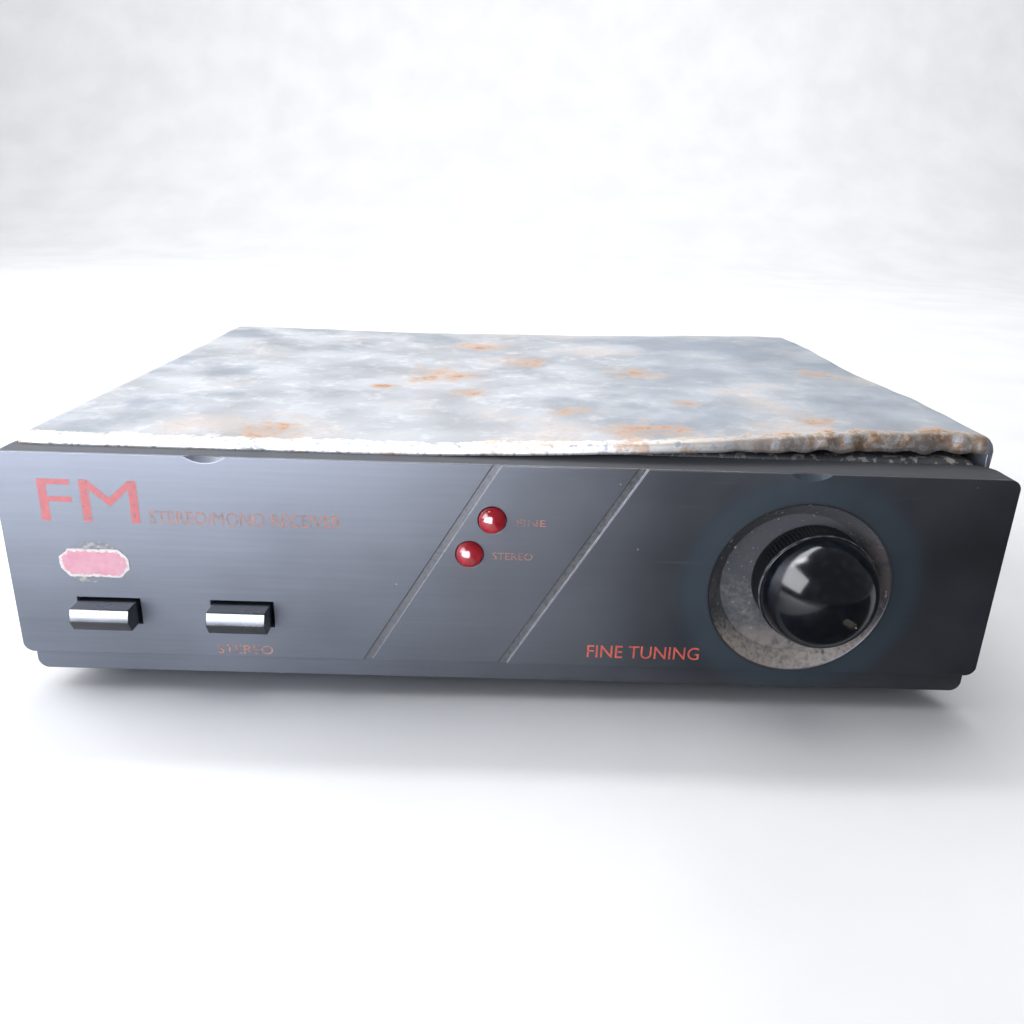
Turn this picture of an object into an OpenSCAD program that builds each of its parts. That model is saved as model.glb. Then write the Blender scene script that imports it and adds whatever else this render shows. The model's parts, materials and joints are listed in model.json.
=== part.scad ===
// FM stereo and mono receiver: a folded steel case behind a moulded front panel, with two push
// buttons, two indicator lamps and a domed tuning knob that stands in a round dish.
// Millimetres, +Z up, front towards -Y, origin under the middle of the whole set.

/* [Front panel] */
// Width of the moulded panel
panel_w = 183; // [150:1:225]
// Height of the moulded panel, with its lower lip
panel_h = 44; // [42:0.5:56]
// Depth of the moulding, from its face to the steel front wall
panel_depth = 9; // [8.5:0.5:12]
// Thickness of the panel's face
face_t = 2.8; // [2.2:0.1:3.6]
// Thickness of the panel's other walls
wall_t = 2; // [1.6:0.1:2.4]
// Radius that the panel's ends have in plan
end_r = 11; // [9:0.5:14]
// Radius of the face's corners
corner_r = 2; // [1:0.5:3.5]
// Height of the lower lip
lip_h = 4.15; // [3.5:0.05:5]
// Distance that the lower lip is set back behind the face
lip_back = 1.2; // [0.6:0.1:1.5]
// Distance that each end of the lip is set in
lip_inset = 1.6; // [1:0.1:3]
// Width of the two slanted grooves
groove_w = 1.5; // [0.8:0.1:2.5]
// Depth of the two slanted grooves
groove_d = 0.5; // [0.3:0.1:1]
// Place of the first groove's top end, right of the middle
groove_x = -2; // [-12:1:8]
// Distance between the two grooves, measured level
groove_gap = 25.8; // [12:0.1:28]
// Distance that a groove moves left on its way down
groove_run = 24; // [10:1:26]

/* [Panel screws] */
// Distance of the upper screw bosses from the panel's ends
boss_edge = 37.8; // [34:0.1:42]
// Distance of the upper screw bosses below the panel's top
boss_drop = 4.8; // [4.4:0.1:6]
// Distance of the lower screw bosses from the panel's ends
low_boss_edge = 60; // [58:0.5:64]
// Radius of a screw boss
boss_r = 3.2; // [2.6:0.1:3.6]
// Radius of the screws that hold the panel, the board and the feet
screw_r = 1.2; // [1:0.1:1.4]
// Width of the sink mark in front of an upper boss
dent_w = 7.5; // [5:0.5:9]
// Depth of the sink mark in front of an upper boss
dent_d = 0.9; // [0.4:0.1:1.2]

/* [Tuning knob] */
// Distance of the dish's centre from the panel's right end
dish_edge = 36.7; // [30:0.1:42]
// Distance of the dish's centre below the panel's top
dish_drop = 22.6; // [22:0.1:24]
// Radius of the dish at the panel's face
dish_r = 17; // [14.5:0.1:17.2]
// Radius of the dish's flat floor
dish_floor_r = 14.1; // [12.6:0.1:14.6]
// Depth of the dish
dish_depth = 3.2; // [2.5:0.1:3.8]
// Distance that the knob's axis stands right of the dish's centre
knob_dx = 2.2; // [0:0.1:2.4]
// Distance that the knob's axis stands above the dish's centre
knob_dz = 1.4; // [0:0.1:1.6]
// Radius of the knob's dome
dome_r = 10.2; // [8.5:0.1:10.6]
// Distance of the dome's rim in front of the panel's face
rim_out = 3; // [2:0.5:6]
// Width of the step between the dome and the rim
rim_step = 0.6; // [0.2:0.1:0.8]
// Number of ribs round the knob's skirt
knurl_count = 90; // [40:2:110]
// Depth of the ribs round the knob's skirt
knurl_d = 0.35; // [0.2:0.05:0.5]
// Angle of the knob's pointer, clockwise from the top
pointer_angle = 124; // [-150:1:150]
// Width of the pointer's slot
pointer_w = 1.3; // [0.8:0.1:2]
// Radius of the control's shaft
shaft_r = 3; // [2.5:0.1:3.2]
// Clearance between the shaft and its bushing
shaft_gap = 0.05; // [0.02:0.01:0.09]
// Radius of the control's can
pot_r = 8.25; // [7.5:0.05:9]
// Depth of the control's can
pot_depth = 9; // [7.5:0.5:12]

/* [Push buttons] */
// Distance of the power button's centre from the panel's left end
button_edge = 17.5; // [16:0.1:20]
// Distance between the two buttons
button_pitch = 24.8; // [18:0.1:27]
// Distance of the buttons' centres below the panel's top
button_drop = 30.7; // [29.5:0.1:31.5]
// Width of a button
button_w = 10.9; // [8.5:0.1:13]
// Height of a button
button_h = 4.5; // [4.2:0.1:5.5]
// Distance that a button stands out of the panel
button_out = 5; // [4.2:0.1:7]
// Gap round a button in its window
button_gap = 0.4; // [0.3:0.05:0.6]
// Travel of a button
button_travel = 3.5; // [2:0.1:3.6]
// Width and height of a push switch
switch_w = 8; // [7.4:0.1:9]
// Depth of a push switch
switch_l = 14; // [12:0.5:17]
// Width of a switch's square plunger
plunger_w = 3; // [2.4:0.1:3.2]

/* [Indicator lamps] */
// Radius of a lamp
led_r = 2.5; // [2:0.1:2.8]
// Place of the upper lamp, right of the middle
led_x = -2.8; // [-6:0.1:0]
// Distance of the upper lamp below the panel's top
led_drop = 10.4; // [9.8:0.1:13]
// Distance that the lower lamp stands left of the upper one
led_dx = 4; // [3.6:0.1:8]
// Distance that the lower lamp stands below the upper one
led_dz = 6.8; // [6.6:0.1:9]
// Distance that a lamp stands out of the panel
led_out = 2.2; // [1:0.1:2.6]

/* [Steel case] */
// Distance that each side of the cover is set in from the panel's end
cover_inset = 3; // [1.5:0.5:6]
// Depth of the steel case
case_depth = 124; // [103:1:150]
// Thickness of the sheet steel
sheet_t = 0.8; // [0.6:0.05:1]
// Outside radius of the cover's folds
cover_fold_r = 3; // [2:0.1:4]
// Outside radius of the tray's folds
tray_fold_r = 1.5; // [1.2:0.1:2]
// Width of the tray's top flanges
flange_w = 8; // [6:0.5:9]
// Height of the tray's top above the panel's top
case_rise = 1; // [0.4:0.1:2]
// Height of the tray's side flanges
side_h = 12; // [10:0.5:14]
// Gap between the tray and the cover's sides
cover_gap = 0.2; // [0.1:0.05:0.4]
// Distance that the cover's front edge is set behind the steel front wall
cover_setback = 1.2; // [0.6:0.1:3]
// Distance of the cover's screws from the front and the back of the case
cover_screw_inset = 25; // [20:1:30]

/* [Feet] */
// Height of a rubber foot
foot_h = 4; // [3:0.5:6]
// Radius of a rubber foot
foot_r = 6.5; // [5.5:0.1:8]
// Distance of a foot's centre from the case's sides and ends
foot_inset = 14; // [12:0.5:17]

/* [Circuit board] */
// Thickness of the circuit board
board_t = 1.6; // [1.2:0.1:2]
// Depth of the circuit board
board_depth = 95; // [78:1:98]
// Gap between the board and the tray's walls
board_gap = 2; // [1:0.5:4]
// Distance of a board pillar from the board's edges
pillar_inset = 4.5; // [4:0.5:6]
// Space kept for the mains transformer at the board's right
power_bay = 50; // [44:1:56]

/* [Mains transformer] */
// Length of the transformer's core
core_l = 36; // [32:1:42]
// Height of the transformer's core
core_h = 30; // [28:1:34]
// Thickness of the core's stack
core_t = 16; // [14:1:18]
// Distance of the transformer's middle from the rear wall
core_inset = 34; // [32:1:38]
// Distance of the transformer's middle from the case's side
core_side = 24; // [22:1:28]

/* [Rear connections] */
// Distance between the two output sockets
jack_pitch = 14; // [12.5:0.5:18]
// Radius of an output socket's metal sleeve
jack_r = 4.15; // [4:0.05:4.3]
// Length of an output socket's metal sleeve
jack_l = 8; // [7:0.5:9]
// Distance between the two aerial screws
aerial_pitch = 12; // [11:0.5:16]
// Height of the rear connections above the tray's underside
rear_up = 20; // [16:0.5:24]
// Radius of the hole for the mains lead through its grommet
lead_r = 3.1; // [2.5:0.1:3.6]

/* [Hidden] */
$fn = 64;
eps = 0.5;                                    // how far a cut runs past a face

// Depths, along Y
dome_out = rim_out + dome_r;                  // the knob's front, ahead of the face
jack_plate_t = 1.6;
rear_out = jack_plate_t + jack_l;             // the sockets' ends, behind the case
face_y = -(panel_depth + case_depth + rear_out - dome_out) / 2;
wall_y = face_y + panel_depth;                // front wall's outer face
rear_y = wall_y + case_depth;                 // rear wall's outer face
inner_y = wall_y + sheet_t;                   // front wall's inner face
cover_y = wall_y + cover_setback;

// Heights, along Z
case_z = foot_h;
floor_z = case_z + sheet_t;
panel_z = case_z;
panel_top = panel_z + panel_h;
step_z = panel_z + lip_h;
case_top = panel_top + case_rise;
cover_top = case_top + sheet_t;
cover_half = panel_w / 2 - cover_inset;
tray_half = cover_half - sheet_t - cover_gap;

// Knob, dish and control
dish_x = panel_w / 2 - dish_edge;
dish_z = panel_top - dish_drop;
knob_x = dish_x + knob_dx;
knob_z = dish_z + knob_dz;
rim_r = dome_r + rim_step;
rim_y = face_y - rim_out;
knob_base_y = face_y + dish_depth - 0.5;      // half a millimetre clear of the dish's floor
pointer_l = 3.4;
pointer_d = 0.6;
pointer_tilt = 18;                            // of the slot's middle, from the knob's axis
shaft_tip_y = rim_y - 1;
bushing_r = shaft_r + 0.5;
bushing_y = face_y + dish_depth + 1;
washer_t = 0.5;
nut_t = 2;
nut_af = 10;
can_wall = 0.8;
wiper_y = inner_y + can_wall + 1.4;
shaft_end_y = wiper_y + 2.4;

// Buttons and switches
power_x = button_edge - panel_w / 2;
stereo_x = power_x + button_pitch;
button_z = panel_top - button_drop;
cap_back_y = wall_y - button_travel - 0.5;
switch_y = inner_y + 2.2;
plunger_gap = 0.08;
spring_r = plunger_w * 0.5 * sqrt(2) + 0.5;
spring_wire_r = 0.25;
switch_window = 2 * (spring_r + spring_wire_r) + 1.8;

// Lamps
led_flange_t = 1;
led_body = 6.3;
led_spots = [[led_x, panel_top - led_drop], [led_x - led_dx, panel_top - led_drop - led_dz]];

// Board
board_top = button_z - switch_w / 2;
board_z = board_top - board_t;
board_x = board_gap - tray_half + sheet_t;
board_w = 2 * (tray_half - sheet_t) - board_gap - power_bay;
board_y = inner_y + board_gap / 2;
pillar_af = 5.5;
parts_y = switch_y + switch_l + 1;            // the parts stand behind the switches
parts_l = board_y + board_depth - parts_y;
foot_back_y = rear_y - foot_inset;
// the rear pillars hold the board's back edge, or stand just in front of the rear feet in a short case
pillar_back_y = min(board_y + board_depth - pillar_inset, foot_back_y - foot_r - 2 * screw_r - 0.4);
pillars = [for (x = [board_x + pillar_inset, board_x + board_w - pillar_inset],
    y = [parts_y + 2 * screw_r, pillar_back_y]) [x, y]];
// a place among the board's parts: u runs from left to right, v from front to back, each 0 to 1
function spot(u, v) = [board_x + board_w * u, parts_y + parts_l * v, board_top];

// Transformer
core_x = tray_half - core_side;
core_y = rear_y - core_inset;
leg_w = core_l / 3;
window_l = core_l / 6;
strap_t = 0.8;
strap_w = core_t - 2;
ear_l = 8;
ear_hole_y = core_l / 2 + strap_t + ear_l / 2;
vent_pitch = 5;                               // of the slots in the floor, in front of the transformer
vent_y = (inner_y + core_y - ear_hole_y) / 2;
vent_margin = 12;
vent_l = core_y - ear_hole_y - inner_y - 2 * vent_margin;

// Rear connections
jack_x = -tray_half + 30;
aerial_x = jack_x + 42;
rear_z = case_z + rear_up;
jack_neck_r = jack_r - 0.3;                   // of a sleeve, where it passes through its plate
jack_screw_x = jack_pitch / 2 + 8.5;
aerial_screw_x = aerial_pitch / 2 + 6.5;
grommet_x = core_x;
grommet_r = lead_r + 2.2;
label_w = 12.7;
label_h = 5.6;
label_cut = 2;                                // its cut-off corners
label_t = 0.15;
groove_angle = atan2(groove_run, panel_h - lip_h);
groove_l = norm([groove_run, panel_h - lip_h]);
cover_overhang = 0.6;                         // past the rear wall
screw_gap = 0.4;                              // round a screw in a steel sheet
boss_spots = [for (s = [-1, 1]) each [
    [s * (panel_w / 2 - boss_edge), panel_top - boss_drop],
    [s * (panel_w / 2 - low_boss_edge), panel_z + wall_t + boss_r - 0.4]]];
foot_spots = [for (x = [-1, 1] * (tray_half - foot_inset), y = [wall_y + foot_inset, foot_back_y])
    [x, y]];
cover_screw_y = [wall_y + cover_screw_inset, rear_y - cover_screw_inset];

// ---- shared shapes ----

// a cylinder along +Y, from the point p
module rod_y(p, r, h) translate(p) rotate([-90, 0, 0]) cylinder(r = r, h = h);

// a cylinder along +X, from the point p
module rod_x(p, r, h) translate(p) rotate([0, 90, 0]) cylinder(r = r, h = h);

// a flat outline in X and Z, given a thickness t along +Y from y
module slab_y(y, t) translate([0, y + t, 0]) rotate([90, 0, 0]) linear_extrude(t) children();

// a flat outline in Y and Z, run along +X for a length l from x
module bar_x(x, l) translate([x, 0, 0]) rotate([90, 0, 90]) linear_extrude(l) children();

// a rectangle with round corners, centred on X, standing on the X axis
module rounded(w, h, r) {
    translate([-w / 2 + r, 0]) square([w - 2 * r, h]);
    translate([-w / 2, r]) square([w, h - 2 * r]);
    for (x = [-1, 1] * (w / 2 - r), y = [r, h - r]) translate([x, y]) circle(r);
}

// a box by its centre in X and Y, standing on z
module block(x, y, z, size) translate([x - size[0] / 2, y - size[1] / 2, z]) cube(size);

// a pan-head screw along +Z: head underside at z = 0, shank going down
module pan_screw(r, l) {
    difference() {
        cylinder(r = 2 * r, h = 1.3 * r);
        for (a = [0, 90]) rotate(a) translate([-1.3 * r, -0.2 * r, 0.7 * r]) cube([2.6 * r, 0.4 * r, r]);
    }
    translate([0, 0, -l]) cylinder(r = r, h = l);
}

// a round tube along a list of points with their directions; ref is never along the path
module tube(points, ways, r, sides, ref) {
    n = len(points);
    rings = [for (i = [0 : n - 1])
        let (t = ways[i] / norm(ways[i]), c = cross(ref, t), a = c / norm(c), b = cross(t, a))
        for (k = [0 : sides - 1])
            points[i] + r * (cos(360 * k / sides) * a + sin(360 * k / sides) * b)];
    sides_of = [for (i = [0 : n - 2], k = [0 : sides - 1])
        let (a = i * sides + k, b = a + sides, d = i * sides + (k + 1) % sides, c = d + sides)
            each [[a, b, c], [a, c, d]]];
    first = [for (k = [0 : sides - 1]) k];
    last = [for (k = [sides - 1 : -1 : 0]) (n - 1) * sides + k];
    polyhedron(rings, concat([first, last], sides_of), convexity = 4);
}

// a wire from a to b, leaving along ua and arriving along ub, pulled out by the length k
module wire(a, ua, b, ub, k, r, ref = [1, 0.2, 0]) {
    steps = 14;
    c = a + k * ua;
    d = b - k * ub;
    tube([for (i = [0 : steps]) let (t = i / steps, s = 1 - t)
            s * s * s * a + 3 * s * s * t * c + 3 * s * t * t * d + t * t * t * b],
        [for (i = [0 : steps]) let (t = i / steps, s = 1 - t)
            s * s * (c - a) + 2 * s * t * (d - c) + t * t * (b - d)],
        r, 6, ref);
}

// a coil of wire along +Y: turns, radius to the wire's middle, length between the end turns' middles
module coil_y(turns, r, l, wire_r, steps = 14) {
    n = turns * steps;
    tube([for (i = [0 : n]) let (a = 360 * i / steps) [r * cos(a), l * i / n, r * sin(a)]],
        [for (i = [0 : n]) let (a = 360 * i / steps) [-r * sin(a), l * steps / (n * 2 * PI), r * cos(a)]],
        wire_r, 6, [0, 1, 0]);
}

// ---- front panel ----

// the panel's plan: straight in front, its two ends rounded towards the back
module panel_plan(half, front) {
    intersection() {
        translate([-half, front]) square([2 * half, panel_depth - front]);
        union() {
            translate([end_r - half, 0]) square([2 * (half - end_r), panel_depth]);
            for (s = [-1, 1]) translate([s * (half - end_r), 1]) circle(end_r);
        }
    }
}

module panel_blank() {
    lip_half = panel_w / 2 - lip_inset;
    intersection() {
        translate([0, face_y, step_z]) linear_extrude(panel_h - lip_h) panel_plan(panel_w / 2, 0);
        slab_y(face_y, panel_depth) translate([0, step_z]) rounded(panel_w, panel_h - lip_h, corner_r);
    }
    intersection() {
        translate([0, face_y, panel_z]) linear_extrude(panel_h / 2) panel_plan(lip_half, lip_back);
        slab_y(face_y, panel_depth) translate([0, panel_z]) rounded(2 * lip_half, panel_h / 2, corner_r);
    }
}

module front_panel() color("#22262b") difference() {
    union() {
        difference() {
            panel_blank();
            block(0, face_y + face_t + panel_depth / 2, panel_z + wall_t,
                [panel_w - 2 * (lip_inset + wall_t + 2), panel_depth, panel_h - 2 * wall_t]);
        }
        rod_y([dish_x, face_y + face_t / 2, dish_z], dish_floor_r + wall_t, dish_depth + wall_t - face_t / 2);
        for (b = boss_spots) rod_y([b[0], face_y + face_t / 2, b[1]], boss_r, panel_depth - face_t / 2);
    }
    translate([dish_x, face_y, dish_z]) rotate([-90, 0, 0])
        cylinder(r1 = dish_r, r2 = dish_floor_r, h = dish_depth);
    rod_y([dish_x, face_y - eps, dish_z], dish_r, eps);
    rod_y([knob_x, face_y, knob_z], bushing_r + 0.5, panel_depth);
    for (b = boss_spots) rod_y([b[0], wall_y - 5.5, b[1]], screw_r + 0.05, 6);
    for (l = led_spots) rod_y([l[0], face_y - eps, l[1]], led_r + 0.1, face_t + 2 * eps);
    for (x = [power_x, stereo_x]) translate([x - button_w / 2 - button_gap, face_y - eps,
        button_z - button_h / 2 - button_gap])
        cube([button_w + 2 * button_gap, face_t + 2 * eps, button_h + 2 * button_gap]);
    for (x = [groove_x, groove_x + groove_gap]) translate([x, face_y - eps, panel_top])
        rotate([0, groove_angle, 0]) translate([-groove_w / 2, 0, -1.1 * groove_l])
            cube([groove_w, groove_d + eps, 1.2 * groove_l]);
    sink_marks();
}

// a sink mark at the top front edge, in front of each upper boss
module sink_marks() {
    r = (dent_w * dent_w / 4 + dent_d * dent_d) / (2 * dent_d);
    for (s = [-1, 1]) translate([s * (panel_w / 2 - boss_edge),
        face_y - (r - dent_d) * sqrt(0.5), panel_top + (r - dent_d) * sqrt(0.5)]) sphere(r);
}

// a worn eight-sided paper label, stuck on the face
module panel_sticker() color("#b04a55") {
    a = label_w / 2;
    b = label_w / 2 - label_cut;
    c = label_h / 2 - label_cut;
    d = label_h / 2;
    slab_y(face_y - label_t, label_t) translate([power_x - 1.6, panel_top - 21])
        polygon([[a, c], [b, d], [-b, d], [-a, c], [-a, -c], [-b, -d], [b, -d], [a, -c]]);
}

module panel_screws() color("#b8b4a8") for (b = boss_spots)
    translate([b[0], inner_y, b[1]]) rotate([-90, 0, 0]) pan_screw(screw_r, 5);

// ---- steel case ----

// side view of the tray: floor, front wall and rear wall, with a flange folded in at each top
module tray_section() difference() {
    translate([(wall_y + rear_y) / 2, case_z]) rounded(case_depth, case_top - case_z, tray_fold_r);
    translate([(wall_y + rear_y) / 2, floor_z])
        rounded(case_depth - 2 * sheet_t, case_top - case_z - 2 * sheet_t, tray_fold_r - sheet_t);
    translate([wall_y + flange_w, case_top - sheet_t - 1])
        square([case_depth - 2 * flange_w, sheet_t + 2]);
}

// front view of the room under the cover, whose upper corners follow the cover's folds
module tray_outline() translate([0, case_z - cover_fold_r])
    rounded(2 * tray_half, case_top - case_z + cover_fold_r, cover_fold_r - sheet_t);

module chassis_tray() color("#a7adb3") difference() {
    union() {
        intersection() {
            bar_x(-tray_half, 2 * tray_half) tray_section();
            slab_y(wall_y - eps, case_depth + 2 * eps) tray_outline();
        }
        for (s = [-1, 1]) block(s * (tray_half - sheet_t / 2), (wall_y + rear_y) / 2, case_z + sheet_t / 2,
            [sheet_t, case_depth - 6, side_h]);
    }
    front_wall_holes();
    rear_wall_holes();
    floor_holes();
    for (s = [-1, 1], y = cover_screw_y)
        rod_x([s * tray_half - 2, y, case_z + side_h / 2], screw_r + 0.05, 4);
}

module front_wall_holes() {
    rod_y([knob_x, wall_y - eps, knob_z], bushing_r + 0.1, sheet_t + 2 * eps);
    for (b = boss_spots) rod_y([b[0], wall_y - eps, b[1]], screw_r + screw_gap, sheet_t + 2 * eps);
    for (l = led_spots) rod_y([l[0], wall_y - eps, l[1]], led_r + 1, sheet_t + 2 * eps);
    for (x = [power_x, stereo_x])
        slab_y(wall_y - eps, sheet_t + 2 * eps) translate([x, button_z]) square(switch_window, center = true);
}

module rear_wall_holes() {
    y = rear_y - sheet_t - eps;
    t = sheet_t + 2 * eps;
    for (s = [-1, 1]) {
        rod_y([jack_x + s * jack_pitch / 2, y, rear_z], jack_r + 0.6, t);
        rod_y([aerial_x + s * aerial_pitch / 2, y, rear_z], 4, t);
        rod_y([jack_x + s * jack_screw_x, y, rear_z], screw_r + 0.1, t);
        rod_y([aerial_x + s * aerial_screw_x, y, rear_z], screw_r + 0.1, t);
    }
    rod_y([grommet_x, y, rear_z], grommet_r, t);
}

module floor_holes() {
    for (f = concat(foot_spots, pillars)) translate([f[0], f[1], case_z - eps])
        cylinder(r = screw_r + screw_gap, h = sheet_t + 2 * eps);
    for (s = [-1, 1]) translate([core_x, core_y + s * ear_hole_y, case_z - eps])
        cylinder(r = 1.7, h = sheet_t + 2 * eps);
    for (i = [-3 : 3]) block(core_x + i * vent_pitch, vent_y, case_z - eps, [2.4, vent_l, sheet_t + 2 * eps]);
}

module top_cover() color("#9aa3aa") difference() {
    slab_y(cover_y, rear_y + cover_overhang - cover_y) cover_section();
    for (s = [-1, 1], y = cover_screw_y)
        rod_x([s * cover_half - 2, y, case_z + side_h / 2], screw_r + screw_gap, 4);
}

// front view of the cover: a top and two sides, folded round the tray
module cover_section() difference() {
    translate([0, case_z - cover_fold_r])
        rounded(2 * cover_half, cover_top - case_z + cover_fold_r, cover_fold_r);
    translate([0, case_z - 2 * cover_fold_r])
        rounded(2 * (cover_half - sheet_t), case_top - case_z + 2 * cover_fold_r, cover_fold_r - sheet_t);
    translate([-2 * cover_half, case_z - 3 * cover_fold_r]) square([4 * cover_half, 3 * cover_fold_r]);
}

module cover_screws() color("#b8b4a8") for (s = [-1, 1], y = cover_screw_y)
    translate([s * cover_half, y, case_z + side_h / 2]) rotate([0, s * 90, 0]) pan_screw(screw_r, 5);

module rubber_feet() color("#1b1b1c") for (f = foot_spots) translate([f[0], f[1], 0]) difference() {
    cylinder(r1 = foot_r - 1, r2 = foot_r, h = foot_h);
    translate([0, 0, -eps]) cylinder(r = 2.6 * screw_r, h = foot_h / 2 + eps);
    cylinder(r = screw_r + 0.1, h = foot_h + eps);
}

module foot_screws() color("#b8b4a8") for (f = foot_spots)
    translate([f[0], f[1], foot_h / 2]) mirror([0, 0, 1]) pan_screw(screw_r, foot_h / 2 + sheet_t + 2.4);

// ---- tuning knob and control ----

// the knob's dome, half a sphere that looks forwards
module dome(r) intersection() {
    translate([knob_x, rim_y, knob_z]) sphere(r);
    translate([knob_x - r - 1, rim_y - r - 1, knob_z - r - 1]) cube([2 * r + 2, r + 1, 2 * r + 2]);
}

module tuning_knob() color("#0d0f13") {
    skirt_l = knob_base_y - rim_y - 0.5;
    difference() {
        union() {
            dome(dome_r);
            rod_y([knob_x, rim_y, knob_z], rim_r, 0.5);
            slab_y(rim_y + 0.5, skirt_l) translate([knob_x, knob_z])
                polygon([for (i = [0 : 2 * knurl_count - 1]) (rim_r - 0.1 - knurl_d * (i % 2))
                    * [cos(180 * i / knurl_count), sin(180 * i / knurl_count)]]);
        }
        rod_y([knob_x, shaft_tip_y, knob_z], shaft_r, knob_base_y - shaft_tip_y + eps);
        pointer_slot();
    }
}

// the slot that marks where the knob points, square to the dome at its middle
module pointer_slot() translate([knob_x, rim_y, knob_z]) rotate([-pointer_tilt, pointer_angle, 0]) {
    for (z = [-0.5, 0.5] * pointer_l) rod_y([0, -dome_r - 1, z], pointer_w / 2, 1 + pointer_d);
    translate([-pointer_w / 2, -dome_r - 1, -pointer_l / 2]) cube([pointer_w, 1 + pointer_d, pointer_l]);
}

module tuning_shaft() color("#c9b37a")
    rod_y([knob_x, shaft_tip_y, knob_z], shaft_r, shaft_end_y - shaft_tip_y);

module control_wiper() color("#8c5a2b") difference() {
    union() {
        rod_y([knob_x, wiper_y, knob_z], shaft_r + 1.5, 1.6);
        translate([knob_x, wiper_y, knob_z]) rotate([0, pointer_angle, 0])
            translate([-1, 0, 0]) cube([2, 0.6, pot_r - can_wall - 0.6]);
    }
    rod_y([knob_x, wiper_y - eps, knob_z], shaft_r, 4);
}

module control_can() color("#a8a8a0") difference() {
    rod_y([knob_x, inner_y, knob_z], pot_r, pot_depth);
    rod_y([knob_x, inner_y + can_wall, knob_z], pot_r - can_wall, pot_depth - 2 * can_wall);
    rod_y([knob_x, inner_y - eps, knob_z], shaft_r + shaft_gap, can_wall + 2 * eps);
}

module control_bushing() color("#c9b37a") difference() {
    rod_y([knob_x, bushing_y, knob_z], bushing_r, inner_y - bushing_y);
    rod_y([knob_x, bushing_y - eps, knob_z], shaft_r + shaft_gap, panel_depth + 2 * eps);
}

module control_washer() color("#b9bcc0") difference() {
    rod_y([knob_x, wall_y - washer_t, knob_z], nut_af / 2 + 0.4, washer_t);
    rod_y([knob_x, wall_y - washer_t - eps, knob_z], bushing_r + 0.05, washer_t + 2 * eps);
}

module control_nut() color("#b9bcc0") difference() {
    translate([knob_x, wall_y - washer_t - nut_t, knob_z]) rotate([-90, 0, 0])
        cylinder(r = nut_af / sqrt(3), h = nut_t, $fn = 6);
    rod_y([knob_x, wall_y - washer_t - nut_t - eps, knob_z], bushing_r + 0.03, nut_t + 2 * eps);
}

module control_tags() color("#c8c8be") for (i = [-1 : 1])
    translate([knob_x + i * 5 - 1, inner_y + pot_depth, knob_z - 11]) cube([2, 0.5, 9]);

// ---- push buttons ----

// side view of a button: flat top, narrow front band, long bevel below
module button_section() {
    front = face_y - button_out;
    z = button_z - button_h / 2;
    bevel_h = 0.42 * button_h;
    polygon([[front + 0.3, z + button_h], [cap_back_y, z + button_h], [cap_back_y, z],
        [front + 1.3, z], [front, z + bevel_h], [front, z + button_h - 0.3]]);
}

module button(x) difference() {
    bar_x(x - button_w / 2, button_w) button_section();
    translate([x - plunger_w / 2, face_y - 1, button_z - plunger_w / 2])
        cube([plunger_w, cap_back_y - face_y + 2, plunger_w]);
}

module plunger(x) translate([x - plunger_w / 2, face_y - 1, button_z - plunger_w / 2])
    cube([plunger_w, switch_y + switch_l / 2 - face_y + 1, plunger_w]);

module spring(x) {
    l = switch_y - cap_back_y - 2 * spring_wire_r - 0.1;
    translate([x, cap_back_y + spring_wire_r + 0.05, button_z])
        coil_y(4, spring_r, l, spring_wire_r, 12);
}

module push_switch(x) difference() {
    w = plunger_w + 2 * plunger_gap;
    translate([x - switch_w / 2, switch_y, button_z - switch_w / 2]) cube([switch_w, switch_l, switch_w]);
    translate([x - w / 2, switch_y - eps, button_z - w / 2])
        cube([w, switch_l / 2 + button_travel + 1 + eps, w]);
}

module power_button() color("#15181c") button(power_x);
module power_plunger() color("#e6e2d4") plunger(power_x);
module power_spring() color("#b9bcc0") spring(power_x);
module power_switch() color("#3a3f45") push_switch(power_x);
module stereo_button() color("#15181c") button(stereo_x);
module stereo_plunger() color("#e6e2d4") plunger(stereo_x);
module stereo_spring() color("#b9bcc0") spring(stereo_x);
module stereo_switch() color("#3a3f45") push_switch(stereo_x);

// ---- indicator lamps ----

module lamp(l) {
    tip_y = face_y - led_out + led_r;
    rod_y([l[0], tip_y, l[1]], led_r, face_y + led_body - tip_y);
    translate([l[0], tip_y, l[1]]) sphere(led_r);
    rod_y([l[0], face_y + face_t, l[1]], led_r + 0.4, led_flange_t);
}

module upper_lamp() color("#b3101c") lamp(led_spots[0]);
module lower_lamp() color("#b3101c") lamp(led_spots[1]);

module lamp_leads() color("#b9bcc0") for (l = led_spots, s = [-1, 1]) {
    w = 0.5;
    drop_y = board_y + 2.5;
    translate([l[0] + s * 1.27 - w / 2, face_y + led_body, l[1] - w / 2])
        cube([w, drop_y - face_y - led_body + w, w]);
    translate([l[0] + s * 1.27 - w / 2, drop_y, board_top]) cube([w, w, l[1] - board_top]);
}

// ---- circuit board ----

module main_board() color("#8a6a3c") difference() {
    translate([board_x, board_y, board_z]) cube([board_w, board_depth, board_t]);
    for (p = pillars) translate([p[0], p[1], board_z - eps])
        cylinder(r = screw_r + 0.1, h = board_t + 2 * eps);
}

module board_pillars() color("#c9b37a") for (p = pillars) translate([p[0], p[1], floor_z]) difference() {
    cylinder(r = pillar_af / sqrt(3), h = board_z - floor_z, $fn = 6);
    translate([0, 0, -eps]) cylinder(r = screw_r + 0.05, h = board_z - floor_z + 2 * eps);
}

module board_screws() color("#b8b4a8") for (p = pillars) {
    l = (board_z - floor_z) / 2 - 0.3;
    translate([p[0], p[1], board_top]) pan_screw(screw_r, l + board_t);
    translate([p[0], p[1], case_z]) mirror([0, 0, 1]) pan_screw(screw_r, l + sheet_t);
}

chip_spots = [[0.24, 0.3], [0.47, 0.3], [0.78, 0.44]];
chip = [19.3, 6.4, 3.3];
chip_up = 0.6;

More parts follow.
